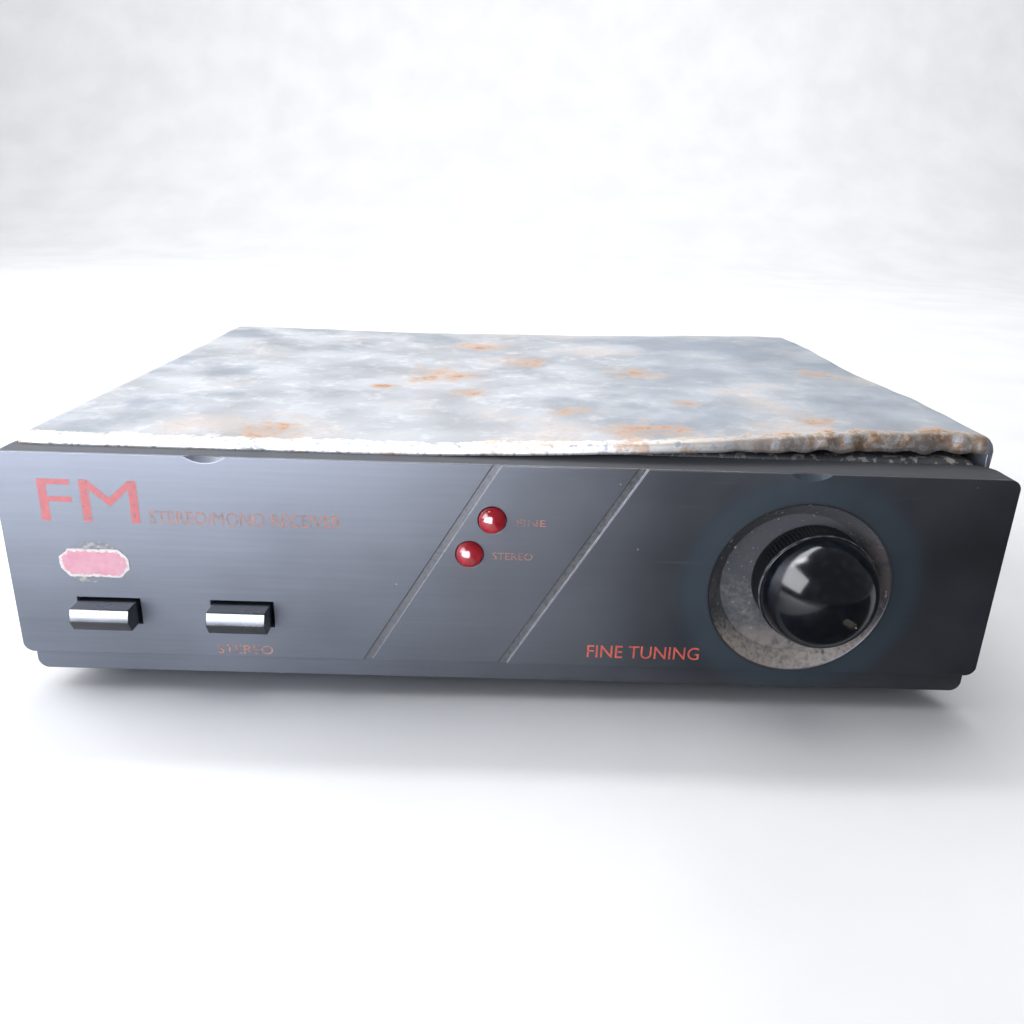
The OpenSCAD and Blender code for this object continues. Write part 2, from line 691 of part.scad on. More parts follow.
module tuner_chips() color("#1b1c1f") for (c = chip_spots) {
    p = spot(c[0], c[1]);
    difference() {
        block(p[0], p[1], p[2] + chip_up, chip);
        translate([p[0] - chip[0] / 2, p[1], p[2] + chip_up + chip[2] - 0.5]) cylinder(r = 1.2, h = 1);
    }
}

module chip_legs() color("#c8c8be") for (c = chip_spots, i = [0 : 7], s = [-1, 1]) {
    p = spot(c[0], c[1]);
    block(p[0] + (i - 3.5) * 2.54, p[1] + s * (chip[1] / 2 + 0.15), p[2], [0.6, 0.3, chip_up + 1.7]);
}

can_spots = [for (u = [0.12 : 0.12 : 0.48]) [u, 0.06]];
can_w = 7.5;
can_h = 9;

module coil_cans() color("#b9bcc0") for (c = can_spots) {
    p = spot(c[0], c[1]);
    difference() {
        block(p[0], p[1], p[2], [can_w, can_w, can_h]);
        block(p[0], p[1], p[2] - eps, [can_w - 0.8, can_w - 0.8, can_h - 0.4 + eps]);
        translate(p) cylinder(r = 2.2, h = can_h + 1);
    }
}

module coil_cores() color("#a9552a") for (c = can_spots) {
    p = spot(c[0], c[1]);
    difference() {
        translate(p) cylinder(r = 2, h = can_h - 0.2);
        block(p[0], p[1], p[2] + can_h - 1.2, [3, 0.6, 2]);
    }
}

module air_coils() color("#b4622c") for (u = [0.6, 0.72]) {
    p = spot(u, 0.07);
    translate([p[0], p[1] - 4, p[2] + 3.4]) coil_y(5, 2.6, 8, 0.4, 12);
}

module ceramic_filters() color("#c5762e") for (u = [0.3, 0.42]) {
    p = spot(u, 0.44);
    block(p[0], p[1], p[2], [7, 3, 6]);
}

// electrolytic capacitors: place on the board, radius, height
can_caps = [[0.17, 0.84, 6.5, 20], [0.3, 0.84, 4, 11.5], [0.4, 0.84, 4, 11.5], [0.48, 0.84, 2.5, 11],
    [0.55, 0.84, 2.5, 11], [0.06, 0.3, 2.5, 11], [0.06, 0.62, 2.5, 11], [0.72, 0.3, 2.5, 11]];

module electrolytics() color("#2a3c66") for (c = can_caps) {
    p = spot(c[0], c[1]);
    difference() {
        translate(p) cylinder(r = c[2], h = c[3]);
        translate([0, 0, c[3] - 0.4]) translate(p) for (a = [0, 90]) rotate(a)
            translate([-c[2] * 0.7, -0.2, 0]) cube([1.4 * c[2], 0.4, 1]);
    }
}

module disc_capacitors() color("#b98a4e") for (i = [0 : 5]) {
    p = spot(0.12 + 0.12 * i, 0.19);
    rod_y([p[0], p[1] - 0.8, p[2] + 4], 2.6, 1.6);
    for (s = [-1, 1]) block(p[0] + s * 1.2, p[1], p[2], [0.5, 0.5, 2.4]);
}

module resistors() color("#c9a878") for (i = [0 : 8]) {
    p = spot(0.12 + 0.08 * i, 0.62);
    for (s = [-1, 1]) block(p[0], p[1] + s * 4.5, p[2], [0.4, 0.4, 1.8]);
    rod_y([p[0], p[1] - 4.8, p[2] + 1.8], 0.3, 9.6);
    rod_y([p[0], p[1] - 3.2, p[2] + 1.8], 1.2, 6.4);
}

preset_up = 4;
preset_at = spot(0.62, 0.44);

module preset_base() color("#2b4f8a") translate(preset_at) difference() {
    block(0, 0, 0, [9.5, 9.5, preset_up]);
    translate([0, 0, 1]) cylinder(r = 3.3 + shaft_gap, h = preset_up);
}

module preset_rotor() color("#e6e2d4") translate(preset_at) difference() {
    translate([0, 0, 1.05]) cylinder(r = 3.3, h = preset_up - 0.65);
    block(0, 0, preset_up - 0.4, [4, 0.8, 2]);
}

regulator_at = spot(0.87, 0.74);

module regulator() color("#1b1c1f") translate(regulator_at) {
    block(0, 0, 3, [10, 4.5, 12]);
    for (i = [-1 : 1]) block(i * 2.54, 0, 0, [0.8, 0.5, 3]);
}

module heat_sink() color("#9a9da0") translate(regulator_at) {
    block(0, 3.05, 0, [16, 1.6, 18]);
    for (i = [-2 : 2]) block(i * 3.5, 5.85, 0, [1, 4, 18]);
}

module rectifiers() color("#1b1c1f") for (i = [0 : 3]) {
    p = spot(0.62 + 0.04 * i, 0.84);
    for (s = [-1, 1]) block(p[0], p[1] + s * 3.6, p[2], [0.6, 0.6, 2]);
    rod_y([p[0], p[1] - 4, p[2] + 2], 0.4, 8);
    rod_y([p[0], p[1] - 2.5, p[2] + 2], 1.4, 5);
}

// ---- fuse ----

fuse_r = 2.5;
fuse_l = 20;
fuse_cap_l = 5;
fuse_up = 4.5;
fuse_at = spot(0.84, 0.16);

module fuse_clips() color("#c9b37a") translate(fuse_at) for (s = [-1, 1])
    translate([0, s * (fuse_l - fuse_cap_l) / 2, 0]) difference() {
        translate([-3.3, -1.8, 0]) cube([6.6, 3.6, fuse_up + 1.4]);
        rod_y([0, -3, fuse_up], fuse_r, 6);
        translate([-1.7, -3, fuse_up]) cube([3.4, 6, 3]);
    }

module fuse_glass() color("#cfe0e0", 0.5) translate(fuse_at) difference() {
    rod_y([0, fuse_cap_l - fuse_l / 2, fuse_up], fuse_r - 0.15, fuse_l - 2 * fuse_cap_l);
    rod_y([0, -fuse_l / 2, fuse_up], fuse_r - 0.7, fuse_l);
}

module fuse_caps() color("#c8c8be") translate(fuse_at) for (s = [-1, 1])
    rod_y([0, s * (fuse_l - fuse_cap_l) / 2 - fuse_cap_l / 2, fuse_up], fuse_r, fuse_cap_l);

// ---- mains transformer ----

coil_gap = 0.3;

module transformer_core() color("#4a4b4d") difference() {
    block(core_x, core_y, floor_z, [core_t, core_l, core_h]);
    for (s = [-1, 1]) block(core_x, core_y + s * (leg_w + window_l) / 2, floor_z + window_l,
        [core_t + 2, window_l, core_h - 2 * window_l]);
}

module transformer_coil() color("#c9a23c") difference() {
    block(core_x, core_y, floor_z + window_l + coil_gap,
        [core_t + 11, leg_w + 2 * (window_l - coil_gap), core_h - 2 * window_l - 2 * coil_gap]);
    block(core_x, core_y, floor_z, [core_t, leg_w, core_h]);
}

module transformer_strap() color("#a7adb3") difference() {
    union() {
        block(core_x, core_y, floor_z, [strap_w, core_l + 2 * strap_t, core_h + strap_t]);
        block(core_x, core_y, floor_z, [strap_w, core_l + 2 * (strap_t + ear_l), strap_t]);
    }
    block(core_x, core_y, floor_z - eps, [strap_w + 2, core_l, core_h + eps]);
    for (s = [-1, 1]) translate([core_x, core_y + s * ear_hole_y, floor_z - eps]) cylinder(r = 1.7, h = 3);
}

module transformer_screws() color("#b8b4a8") for (s = [-1, 1])
    translate([core_x, core_y + s * ear_hole_y, 0]) {
        translate([0, 0, floor_z + strap_t]) pan_screw(1.5, sheet_t + strap_t + 2.6);
        difference() {
            translate([0, 0, case_z - 2.2]) cylinder(r = 5.5 / sqrt(3), h = 2.2, $fn = 6);
            translate([0, 0, case_z - 3]) cylinder(r = 1.5, h = 4);
        }
    }

// ---- rear connections ----

module mains_grommet() color("#1b1b1c") difference() {
    union() {
        rod_y([grommet_x, rear_y - sheet_t, rear_z], grommet_r, sheet_t);
        rod_y([grommet_x, rear_y, rear_z], grommet_r + 1.8, 2);
        rod_y([grommet_x, rear_y - sheet_t - 2, rear_z], grommet_r + 1.8, 2);
    }
    rod_y([grommet_x, rear_y - sheet_t - 2 - eps, rear_z], lead_r, sheet_t + 4 + 2 * eps);
}

module jack_plate() color("#5b4630") difference() {
    slab_y(rear_y, jack_plate_t) translate([jack_x, rear_z - 8]) rounded(jack_pitch + 24, 16, 2);
    for (s = [-1, 1]) {
        rod_y([jack_x + s * jack_pitch / 2, rear_y - eps, rear_z], jack_neck_r, jack_plate_t + 2 * eps);
        rod_y([jack_x + s * jack_screw_x, rear_y - eps, rear_z], screw_r, jack_plate_t + 2 * eps);
    }
}

module jack_sleeves() color("#c2c4c6") for (s = [-1, 1]) {
    x = jack_x + s * jack_pitch / 2;
    difference() {
        union() {
            rod_y([x, rear_y, rear_z], jack_neck_r, jack_plate_t);
            rod_y([x, rear_y + jack_plate_t, rear_z], jack_r, jack_l);
        }
        rod_y([x, rear_y - eps, rear_z], jack_r - 0.6, rear_out + 2 * eps);
    }
    translate([jack_x + s * jack_screw_x, rear_y + jack_plate_t, rear_z]) rotate([-90, 0, 0])
        pan_screw(screw_r, jack_plate_t + sheet_t + 1.5);
}

module jack_insulators() color("#b02a2a") for (s = [-1, 1]) {
    x = jack_x + s * jack_pitch / 2;
    difference() {
        rod_y([x, rear_y - 1, rear_z], jack_r - 0.6, rear_out - 0.5);
        rod_y([x, rear_y - 2, rear_z], 2.1, rear_out + 4);
    }
}

module jack_contacts() color("#c9b37a") for (s = [-1, 1]) {
    x = jack_x + s * jack_pitch / 2;
    difference() {
        rod_y([x, rear_y - 4, rear_z], 2.1, rear_out + 1.5);
        rod_y([x, rear_y, rear_z], 1.62, rear_out + 4);
    }
}

module aerial_plate() color("#5b4630") difference() {
    slab_y(rear_y, jack_plate_t) translate([aerial_x, rear_z - 7]) rounded(aerial_pitch + 19, 14, 2);
    for (s = [-1, 1]) {
        rod_y([aerial_x + s * aerial_pitch / 2, rear_y - eps, rear_z], 1.5, jack_plate_t + 2 * eps);
        rod_y([aerial_x + s * aerial_screw_x, rear_y - eps, rear_z], screw_r, jack_plate_t + 2 * eps);
    }
}

module aerial_screws() color("#c2c4c6") for (s = [-1, 1]) {
    translate([aerial_x + s * aerial_pitch / 2, rear_y + jack_plate_t, rear_z]) rotate([-90, 0, 0])
        pan_screw(1.5, jack_plate_t + 6);
    translate([aerial_x + s * aerial_screw_x, rear_y + jack_plate_t, rear_z]) rotate([-90, 0, 0])
        pan_screw(screw_r, jack_plate_t + sheet_t + 1.5);
}

// ---- wiring ----

wire_r = 0.6;
up = [0, 0, 1];
back = [0, 1, 0];

// from the transformer's winding to the board
module power_wires() color("#b03030") for (i = [0 : 3]) {
    a = [core_x - core_t / 2 - 5.5, core_y - 6 + 4 * i, floor_z + core_h / 2 + 3 * (i - 1.5)];
    p = [board_x + board_w - 3 - 1.8 * i, spot(0, 0.44 + 0.03 * i)[1], board_top];
    wire(a, [-1, 0, 0], p, -up, 7 + 2.5 * i, wire_r, [0.2, 1, 0]);
}

// from the control, the output sockets and the aerial screws to the board
module signal_wires() color("#d8d2c0") {
    for (i = [-1 : 1]) {
        tag = [knob_x + i * 5, inner_y + pot_depth + 0.5, knob_z - 10];
        p = [board_x + board_w - 4, parts_y + 12 + 3 * i, board_top];
        wire(tag, back, p, -up, 10, wire_r, [1, 0.3, 0.2]);
    }
    for (s = [-1, 1]) {
        wire([jack_x + s * jack_pitch / 2, rear_y - 4, rear_z], -back,
            [jack_x + s * 3, board_y + board_depth - 3, board_top], -up, 12, wire_r);
        wire([aerial_x + s * aerial_pitch / 2, rear_y - 6, rear_z], -back,
            [aerial_x + s * 3, board_y + board_depth - 3, board_top], -up, 10, wire_r);
    }
}

front_panel();
panel_sticker();
chassis_tray();
top_cover();
cover_screws();
panel_screws();
rubber_feet();
foot_screws();
tuning_knob();
tuning_shaft();
control_wiper();
control_can();
control_bushing();
control_nut();
control_washer();
control_tags();
power_button();
power_plunger();
power_spring();
power_switch();
stereo_button();
stereo_plunger();
stereo_spring();
stereo_switch();
upper_lamp();
lower_lamp();
lamp_leads();
main_board();
board_pillars();
board_screws();
tuner_chips();
chip_legs();
coil_cans();
coil_cores();
air_coils();
ceramic_filters();
electrolytics();
disc_capacitors();
resistors();
preset_base();
preset_rotor();
regulator();
heat_sink();
rectifiers();
fuse_clips();
fuse_glass();
fuse_caps();
transformer_core();
transformer_coil();
transformer_strap();
transformer_screws();
mains_grommet();
jack_plate();
jack_sleeves();
jack_insulators();
jack_contacts();
aerial_plate();
aerial_screws();
power_wires();
signal_wires();
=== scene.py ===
# %% [markdown]
# A small FM stereo receiver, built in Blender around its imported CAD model. The set is a steel tray
# with a folded zinc-coated cover, closed in front by a black moulded panel with two push buttons,
# two red lamps and a domed tuning knob. The CAD model gives every size and place. This script adds
# the finishes, and the shapes that a CAD model leaves plain: the bent and rusty cover, soft edges,
# the polished dome, worn print and dust.

# %% Load the frame
import json
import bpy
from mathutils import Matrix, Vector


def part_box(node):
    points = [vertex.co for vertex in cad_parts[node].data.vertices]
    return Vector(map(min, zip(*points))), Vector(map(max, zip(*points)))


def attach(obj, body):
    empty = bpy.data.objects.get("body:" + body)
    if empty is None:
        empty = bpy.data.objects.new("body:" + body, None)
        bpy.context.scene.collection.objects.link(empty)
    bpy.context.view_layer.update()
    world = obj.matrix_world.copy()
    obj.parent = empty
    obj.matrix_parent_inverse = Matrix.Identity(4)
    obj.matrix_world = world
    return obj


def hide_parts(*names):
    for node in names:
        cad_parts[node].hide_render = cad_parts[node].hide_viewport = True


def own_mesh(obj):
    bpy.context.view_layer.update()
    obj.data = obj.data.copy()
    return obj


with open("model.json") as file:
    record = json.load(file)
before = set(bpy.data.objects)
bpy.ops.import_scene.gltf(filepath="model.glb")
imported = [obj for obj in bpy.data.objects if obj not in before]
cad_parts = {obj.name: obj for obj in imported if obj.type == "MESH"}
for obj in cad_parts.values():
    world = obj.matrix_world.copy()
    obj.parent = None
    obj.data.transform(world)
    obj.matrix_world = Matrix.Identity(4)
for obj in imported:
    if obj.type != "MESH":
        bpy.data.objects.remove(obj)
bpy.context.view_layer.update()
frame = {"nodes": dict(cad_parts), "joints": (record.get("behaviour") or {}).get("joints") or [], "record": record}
from types import SimpleNamespace

import bmesh
import bpy
import numpy as np

mm = 0.001

# %% [markdown]
# Every place below comes from the CAD nodes, so that nothing has to be fitted by eye. The panel's
# node gives the plane of its face, and the tuning joint gives the knob's axis. The dish that the
# knob stands in is not quite concentric with it: the knob sits a little right of and above the
# dish's centre.

# %% Places worked out from the CAD nodes
panel_low, panel_high = (np.array(v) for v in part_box("front_panel"))
cover_low, cover_high = (np.array(v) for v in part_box("top_cover"))
face_y, wall_y, panel_top = float(panel_low[1]), float(panel_high[1]), float(panel_high[2])
pivots = {joint["name"]: joint.get("pos_m") for joint in frame["joints"]}
knob_x, knob_z = pivots["tuning_turn"][0], pivots["tuning_turn"][2]
dish_x, dish_z = knob_x - 2.2 * mm, knob_z - 1.4 * mm
print("face at y", round(face_y / mm, 2), "mm")
print("knob axis at x, z", round(knob_x / mm, 1), round(knob_z / mm, 1), "mm")

# %% [markdown]
# The camera stands a hand's length in front of the set and a little above it, as someone holds a
# phone to show a thing that lies in the other hand. So close up a wide lens is needed, and the top
# narrows strongly towards the back. The set is turned in the view by a degree or two.

# %% Camera
scene = bpy.context.scene
scene.view_settings.view_transform = "Standard"
camera_data = bpy.data.cameras.new("camera")
camera_data.sensor_width = 36
camera_data.lens = 30.33
camera_data.clip_start = 0.005
camera = bpy.data.objects.new("camera", camera_data)
scene.collection.objects.link(camera)
camera.location = (-1.4 * mm, face_y - 145.4 * mm, panel_top + 45.6 * mm)
camera.rotation_euler = np.radians((69.52, -1.82, -0.16))
scene.camera = camera
print("camera at", [round(c / mm, 1) for c in camera.location], "mm")

# %% [markdown]
# Colours are given as sRGB hex values, as a colour picker shows them, and Blender's shaders want
# linear light, so one function turns the first into the second. Another adds a node with its
# settings and its links in one call, and gives back its output, so that a pattern reads as one
# expression. All materials below are made with these two.

# %% Colours and nodes
def linear(code):
    """sRGB hex to linear RGBA: a channel up to 0.04045 is divided by 12.92, above it a 2.4 power."""
    srgb = np.array([int(code[i : i + 2], 16) for i in (1, 3, 5)]) / 255
    low, high = srgb / 12.92, ((srgb + 0.055) / 1.055) ** 2.4
    return (*(float(c) for c in np.where(srgb <= 0.04045, low, high)), 1.0)


def add(tree, kind, inputs, output=0, **settings):
    """Adds a shader node and returns one of its outputs. inputs gives, by socket, a plain value or
    another node's output, which is then linked."""
    node = tree.nodes.new("ShaderNode" + kind)
    for name, value in settings.items():
        setattr(node, name, value)
    for socket, value in inputs.items():
        if isinstance(value, bpy.types.NodeSocket):
            tree.links.new(value, node.inputs[socket])
        else:
            node.inputs[socket].default_value = value
    return node.outputs[output]


FACTOR, BELOW, ABOVE, MIXED = 0, 6, 7, 2  # the Mix node's sockets when it mixes colours
COLOURS = {"data_type": "RGBA"}  # makes a Mix node mix colours
SOFT = {"interpolation_type": "SMOOTHSTEP"}  # a Map Range that starts and ends gently

# %% [markdown]
# Most finishes on a set like this are two close tones of one colour that drift over a few
# millimetres, with a roughness that drifts too, and a fine grain that only shows as bump. So one
# function builds that family, and gives back the sockets that a richer finish goes on from. A
# second function lays a film, such as dust, ink or rust, over a colour where some masks meet.

# %% A finish of two tones, and a film over it
def two_tones(name, dark, light, patch, rough, grain, bump, **shader):
    """A noise of `patch` mm mixes two hex colours and moves the roughness between the two values
    in `rough`; a noise of `grain` mm gives a bump `bump` mm high. shader sets plain Principled
    inputs."""
    made = bpy.data.materials.new(name)
    made.use_nodes = True
    tree = made.node_tree
    principled = tree.nodes["Principled BSDF"]
    for socket, value in shader.items():
        principled.inputs[socket.replace("_", " ")].default_value = value
    place = add(tree, "TexCoord", {}, "Object")
    drift = add(tree, "TexNoise", {"Vector": place, "Scale": 1 / (patch * mm), "Detail": 4.0})
    spread = add(tree, "MapRange", {0: drift, 1: 0.35, 2: 0.65})
    ends = {FACTOR: spread, BELOW: linear(dark), ABOVE: linear(light)}
    tone = add(tree, "Mix", ends, MIXED, **COLOURS)
    shine = add(tree, "MapRange", {0: drift, 1: 0.3, 2: 0.7, 3: rough[0], 4: rough[1]})
    fine = add(tree, "TexNoise", {"Vector": place, "Scale": 1 / (grain * mm), "Detail": 2.0})
    relief = add(tree, "Bump", {"Height": fine, "Distance": bump * mm})
    for socket, value in (("Base Color", tone), ("Roughness", shine), ("Normal", relief)):
        tree.links.new(value, principled.inputs[socket])
    return SimpleNamespace(
        material=made, tree=tree, shader=principled, place=place, tone=tone, shine=shine
    )


def film(tree, below, code, amount, *masks):
    """The colour below, covered by a film of the hex colour: by `amount` where every mask is 1."""
    covered = amount
    for mask in masks:
        covered = add(tree, "Math", {0: covered, 1: mask}, operation="MULTIPLY")
    return add(tree, "Mix", {FACTOR: covered, BELOW: below, ABOVE: linear(code)}, MIXED, **COLOURS)


# %% [markdown]
# The CAD nodes inside and behind the set keep their shapes, and each material slot of the record
# gets a finish of this family. Scales are real ones: moulded plastic has a grain of about 0.3 mm,
# zinc plating a soft mottle of a few millimetres, phenolic board a fibre of about 1 mm.

# %% Finishes for the plain CAD nodes
metal = {"Metallic": 1.0}
PLAIN = {
    # slot: dark, light, patch mm, roughness, grain mm, bump mm, plain shader inputs
    # zinc-plated screws: pale yellowish metal, dulled
    "zinc_screws": ("#8f8b7e", "#c2beb0", 2.0, (0.3, 0.55), 0.3, 0.01, metal),
    # moulded rubber: near black, very matt, chalky with age
    "black_rubber": ("#141415", "#262627", 3.0, (0.75, 0.92), 0.35, 0.03, {}),
    # turned brass: warm yellow, a little tarnished
    "brass_parts": ("#9a7a3c", "#c7a660", 3.0, (0.25, 0.45), 0.2, 0.005, metal),
    # bright nickel plate: a cool grey mirror with a light haze
    "nickel_parts": ("#a9a8a2", "#cfcdc6", 4.0, (0.16, 0.35), 0.3, 0.004, metal),
    # tinned copper wire: soft grey metal
    "tinned_wire": ("#a5a49d", "#c9c7bf", 1.5, (0.3, 0.5), 0.2, 0.004, metal),
    # drawn spring steel: darker, with sharper highlights
    "spring_wire": ("#7e7f80", "#a6a8aa", 1.5, (0.22, 0.4), 0.2, 0.003, metal),
    # nylon: milky white, faintly see-through
    "white_nylon": ("#d4cfbf", "#e9e5d8", 3.0, (0.38, 0.5), 0.3, 0.006,
                    {"Subsurface_Weight": 0.15}),
    # moulded switch body: charcoal with a fine grain
    "grey_switch": ("#33373c", "#44494f", 3.0, (0.5, 0.65), 0.25, 0.012, {}),
    # paper phenolic board: tan brown with fibre
    "phenolic_board": ("#6b4a22", "#94703c", 1.2, (0.4, 0.6), 0.4, 0.01, {}),
    # dark paper phenolic plates: chocolate brown
    "brown_phenolic": ("#3a281a", "#5c4630", 1.2, (0.35, 0.55), 0.4, 0.012, {}),
    # moulded epoxy: black, matt, slightly pitted
    "black_epoxy": ("#141518", "#232428", 1.5, (0.55, 0.75), 0.2, 0.015, {}),
    # painted ferrite: brick brown and gritty
    "ferrite_core": ("#7c3a1e", "#a3542e", 1.0, (0.55, 0.75), 0.2, 0.02, {}),
    # enamelled copper wire: red-brown metal under varnish
    "enamelled_copper": ("#8f4422", "#c06b38", 2.0, (0.25, 0.4), 0.3, 0.004,
                         {**metal, "Coat_Weight": 0.4}),
    # dipped ceramic: orange-brown, glossy and uneven
    "orange_ceramic": ("#a85f22", "#c98440", 1.5, (0.25, 0.45), 0.5, 0.03, {}),
    # shrink sleeve: dark blue, satin
    "blue_sleeve": ("#22315a", "#31457a", 4.0, (0.3, 0.42), 0.5, 0.01, {}),
    # dipped resistor body: tan, satin
    "tan_resistor": ("#b08f5f", "#d0b184", 1.0, (0.4, 0.55), 0.3, 0.02, {}),
    # moulded preset body: bright blue
    "blue_preset": ("#24457c", "#305a9c", 2.0, (0.3, 0.45), 0.3, 0.008, {}),
    # extruded aluminium: pale, even metal
    "bare_aluminium": ("#a9abad", "#c6c8ca", 2.0, (0.32, 0.48), 0.25, 0.008, metal),
    # clear glass: colourless, with a breath of dust
    "clear_glass": ("#e4f0ee", "#f4faf9", 3.0, (0.02, 0.08), 0.5, 0.002,
                    {"Transmission_Weight": 0.95}),
    # varnished iron laminations: dark grey under a brownish gloss
    "varnished_iron": ("#2c2a28", "#4b4845", 1.0, (0.35, 0.6), 0.35, 0.03, metal),
    # polyester tape: clear yellow over copper
    "yellow_tape": ("#a97f22", "#d0a640", 4.0, (0.18, 0.3), 1.2, 0.03, {"Coat_Weight": 0.3}),
    # moulded insulator: dull red
    "red_insulator": ("#8e2020", "#b03030", 1.5, (0.35, 0.5), 0.3, 0.01, {}),
    # PVC sleeves of the wires: even colours with a soft shine
    "red_wire": ("#962222", "#b83a36", 3.0, (0.35, 0.5), 0.4, 0.006, {}),
    "grey_wire": ("#b8b2a0", "#d4cebe", 3.0, (0.35, 0.5), 0.4, 0.006, {}),
}
finishes = {}
for slot, (*values, shader_inputs) in PLAIN.items():
    finishes[slot] = two_tones(slot, *values, **shader_inputs).material
print(len(finishes), "plain finishes made")

# %% [markdown]
# The panel is injection-moulded ABS in charcoal. Years of handling have taken its gloss, so it is
# satin, with long fine scratches and specks of dust. Towards the left its colour is lightened to a
# bluish grey in fine streaks: a painted sheen, for the pale light that its left half mirrors. Round
# the dish, fingers have polished a ring, and its sheen is painted as a bluish tone. The panel's top
# face, in the gap under the cover's lip, is painted near black as shade. Dirt stays where no cloth
# reaches: in the slanted grooves, on the dish's floor, and thickest on the lower part of its wall.
# The dish is also darkened, to near black over its upper part and to dark brown on its wall.
#
# The masks come from plain distances: how far a point lies behind the face, and how far it lies
# from the dish's axis. Each is a value that Map Range turns into a soft step.

# %% Distances on the panel
panel = two_tones("black_abs", "#1b1f24", "#24282e", 22.0, (0.38, 0.48), 0.35, 0.012, IOR=1.46)
tree = panel.tree
dish_middle = (dish_x, face_y, dish_z)
from_dish = add(tree, "VectorMath", {0: panel.place, 1: dish_middle}, operation="SUBTRACT")
right, depth, above = add(tree, "SeparateXYZ", {0: from_dish}).node.outputs
across = add(tree, "VectorMath", {0: from_dish, 1: (1.0, 0.0, 1.0)}, operation="MULTIPLY")
radius = add(tree, "VectorMath", {0: across}, "Value", operation="LENGTH")
blotches = add(tree, "TexNoise", {
    "Vector": panel.place, "Scale": 1 / (3.2 * mm), "Detail": 6.0, "Roughness": 0.65})
grit = add(tree, "TexNoise", {"Vector": panel.place, "Scale": 1 / (0.8 * mm), "Detail": 3.0})
print("dish axis at x, z:", round(dish_x / mm, 1), round(dish_z / mm, 1), "mm")

# %% Painted sheen, painted shade and dust of the panel
drawn_out = add(tree, "Mapping", {0: panel.place, 3: (30.0, 1.0, 1100.0)})
streaks = add(tree, "TexNoise", {
    "Vector": drawn_out, "Scale": 1.0, "Detail": 4.0, "Roughness": 0.6})
wiping = add(tree, "MapRange", {0: streaks, 1: 0.1, 2: 0.9, 3: 0.75, 4: 1.15})
painted_left_sheen = add(tree, "MapRange", {0: right, 1: -8 * mm, 2: -115 * mm}, **SOFT)
ring_outside = add(tree, "MapRange", {0: radius, 1: 25 * mm, 2: 19.5 * mm}, **SOFT)
ring_inside = add(tree, "MapRange", {0: radius, 1: 17.0 * mm, 2: 17.6 * mm}, **SOFT)
behind_face = add(tree, "MapRange", {0: depth, 1: 0.05 * mm, 2: 0.3 * mm}, **SOFT)
near_axis = add(tree, "MapRange", {0: radius, 1: 17.6 * mm, 2: 17.1 * mm}, **SOFT)
in_dish = add(tree, "Math", {0: behind_face, 1: near_axis}, operation="MULTIPLY")
on_wall = add(tree, "MapRange", {0: radius, 1: 13.9 * mm, 2: 14.6 * mm}, **SOFT)
some_blotches = add(tree, "MapRange", {0: blotches, 1: 0.38, 2: 0.72}, **SOFT)
more_blotches = add(tree, "MapRange", {0: blotches, 1: 0.28, 2: 0.52}, **SOFT)
crumbs = add(tree, "MapRange", {0: grit, 1: 0.25, 2: 0.6}, **SOFT)
low_wall = add(tree, "MapRange", {0: above, 1: -5 * mm, 2: -14 * mm}, **SOFT)
high_dish = add(tree, "MapRange", {0: above, 1: -2 * mm, 2: 6 * mm}, **SOFT)
glints = add(tree, "MapRange", {0: grit, 1: 0.66, 2: 0.72}, **SOFT)
low_floor = add(tree, "MapRange", {0: above, 1: -7 * mm, 2: -14 * mm}, **SOFT)
right_wall = add(tree, "MapRange", {0: right, 1: 8 * mm, 2: 14 * mm}, **SOFT)

on_crown = add(tree, "MapRange", {0: depth, 1: 0.4 * mm, 2: 0.6 * mm}, **SOFT)
up_to_top = panel_top - dish_z
at_top = add(tree, "MapRange", {0: above, 1: up_to_top - 0.3 * mm, 2: up_to_top - 0.1 * mm}, **SOFT)

# Painted sheen: the left of the panel is lightened to a bluish grey, in streaks, for the light it mirrors.
colour = film(tree, panel.tone, "#6a7280", 0.55, painted_left_sheen, wiping)
# Painted sheen: a bluish ring round the dish, where fingers have polished the face.
colour = film(tree, colour, "#2c4250", 0.6, ring_outside, ring_inside)
# Painted shade: the panel's top face, in the gap under the cover's lip, is made near black.
colour = film(tree, colour, "#0b0c0e", 0.9, on_crown, at_top)
colour = film(tree, colour, "#4a4644", 0.5, in_dish, some_blotches)
colour = film(tree, colour, "#8b8278", 0.55, in_dish, some_blotches, crumbs)
# The upper part of the dish is darkened to near black, in blotches.
colour = film(tree, colour, "#17120f", 0.85, in_dish, high_dish, more_blotches)
colour = film(tree, colour, "#9a8b7d", 0.9, in_dish, low_floor, more_blotches)
# The dish's wall is darkened to dark brown, and to a lighter brown on its right.
colour = film(tree, colour, "#1d1713", 0.85, in_dish, on_wall, some_blotches)
colour = film(tree, colour, "#5d5048", 0.75, in_dish, on_wall, right_wall, more_blotches)
colour = film(tree, colour, "#b5a797", 1.0, in_dish, on_wall, low_wall, crumbs)
colour = film(tree, colour, "#c8bdb0", 0.7, in_dish, glints)

# %% [markdown]
# A groove's floor lies half a millimetre behind the face, so dust in the grooves is a mask on depth
# alone, kept away from the panel's rounded ends. A Voronoi pattern scatters the specks: each cell
# holds one near its middle, and its random colour decides which few cells keep theirs.

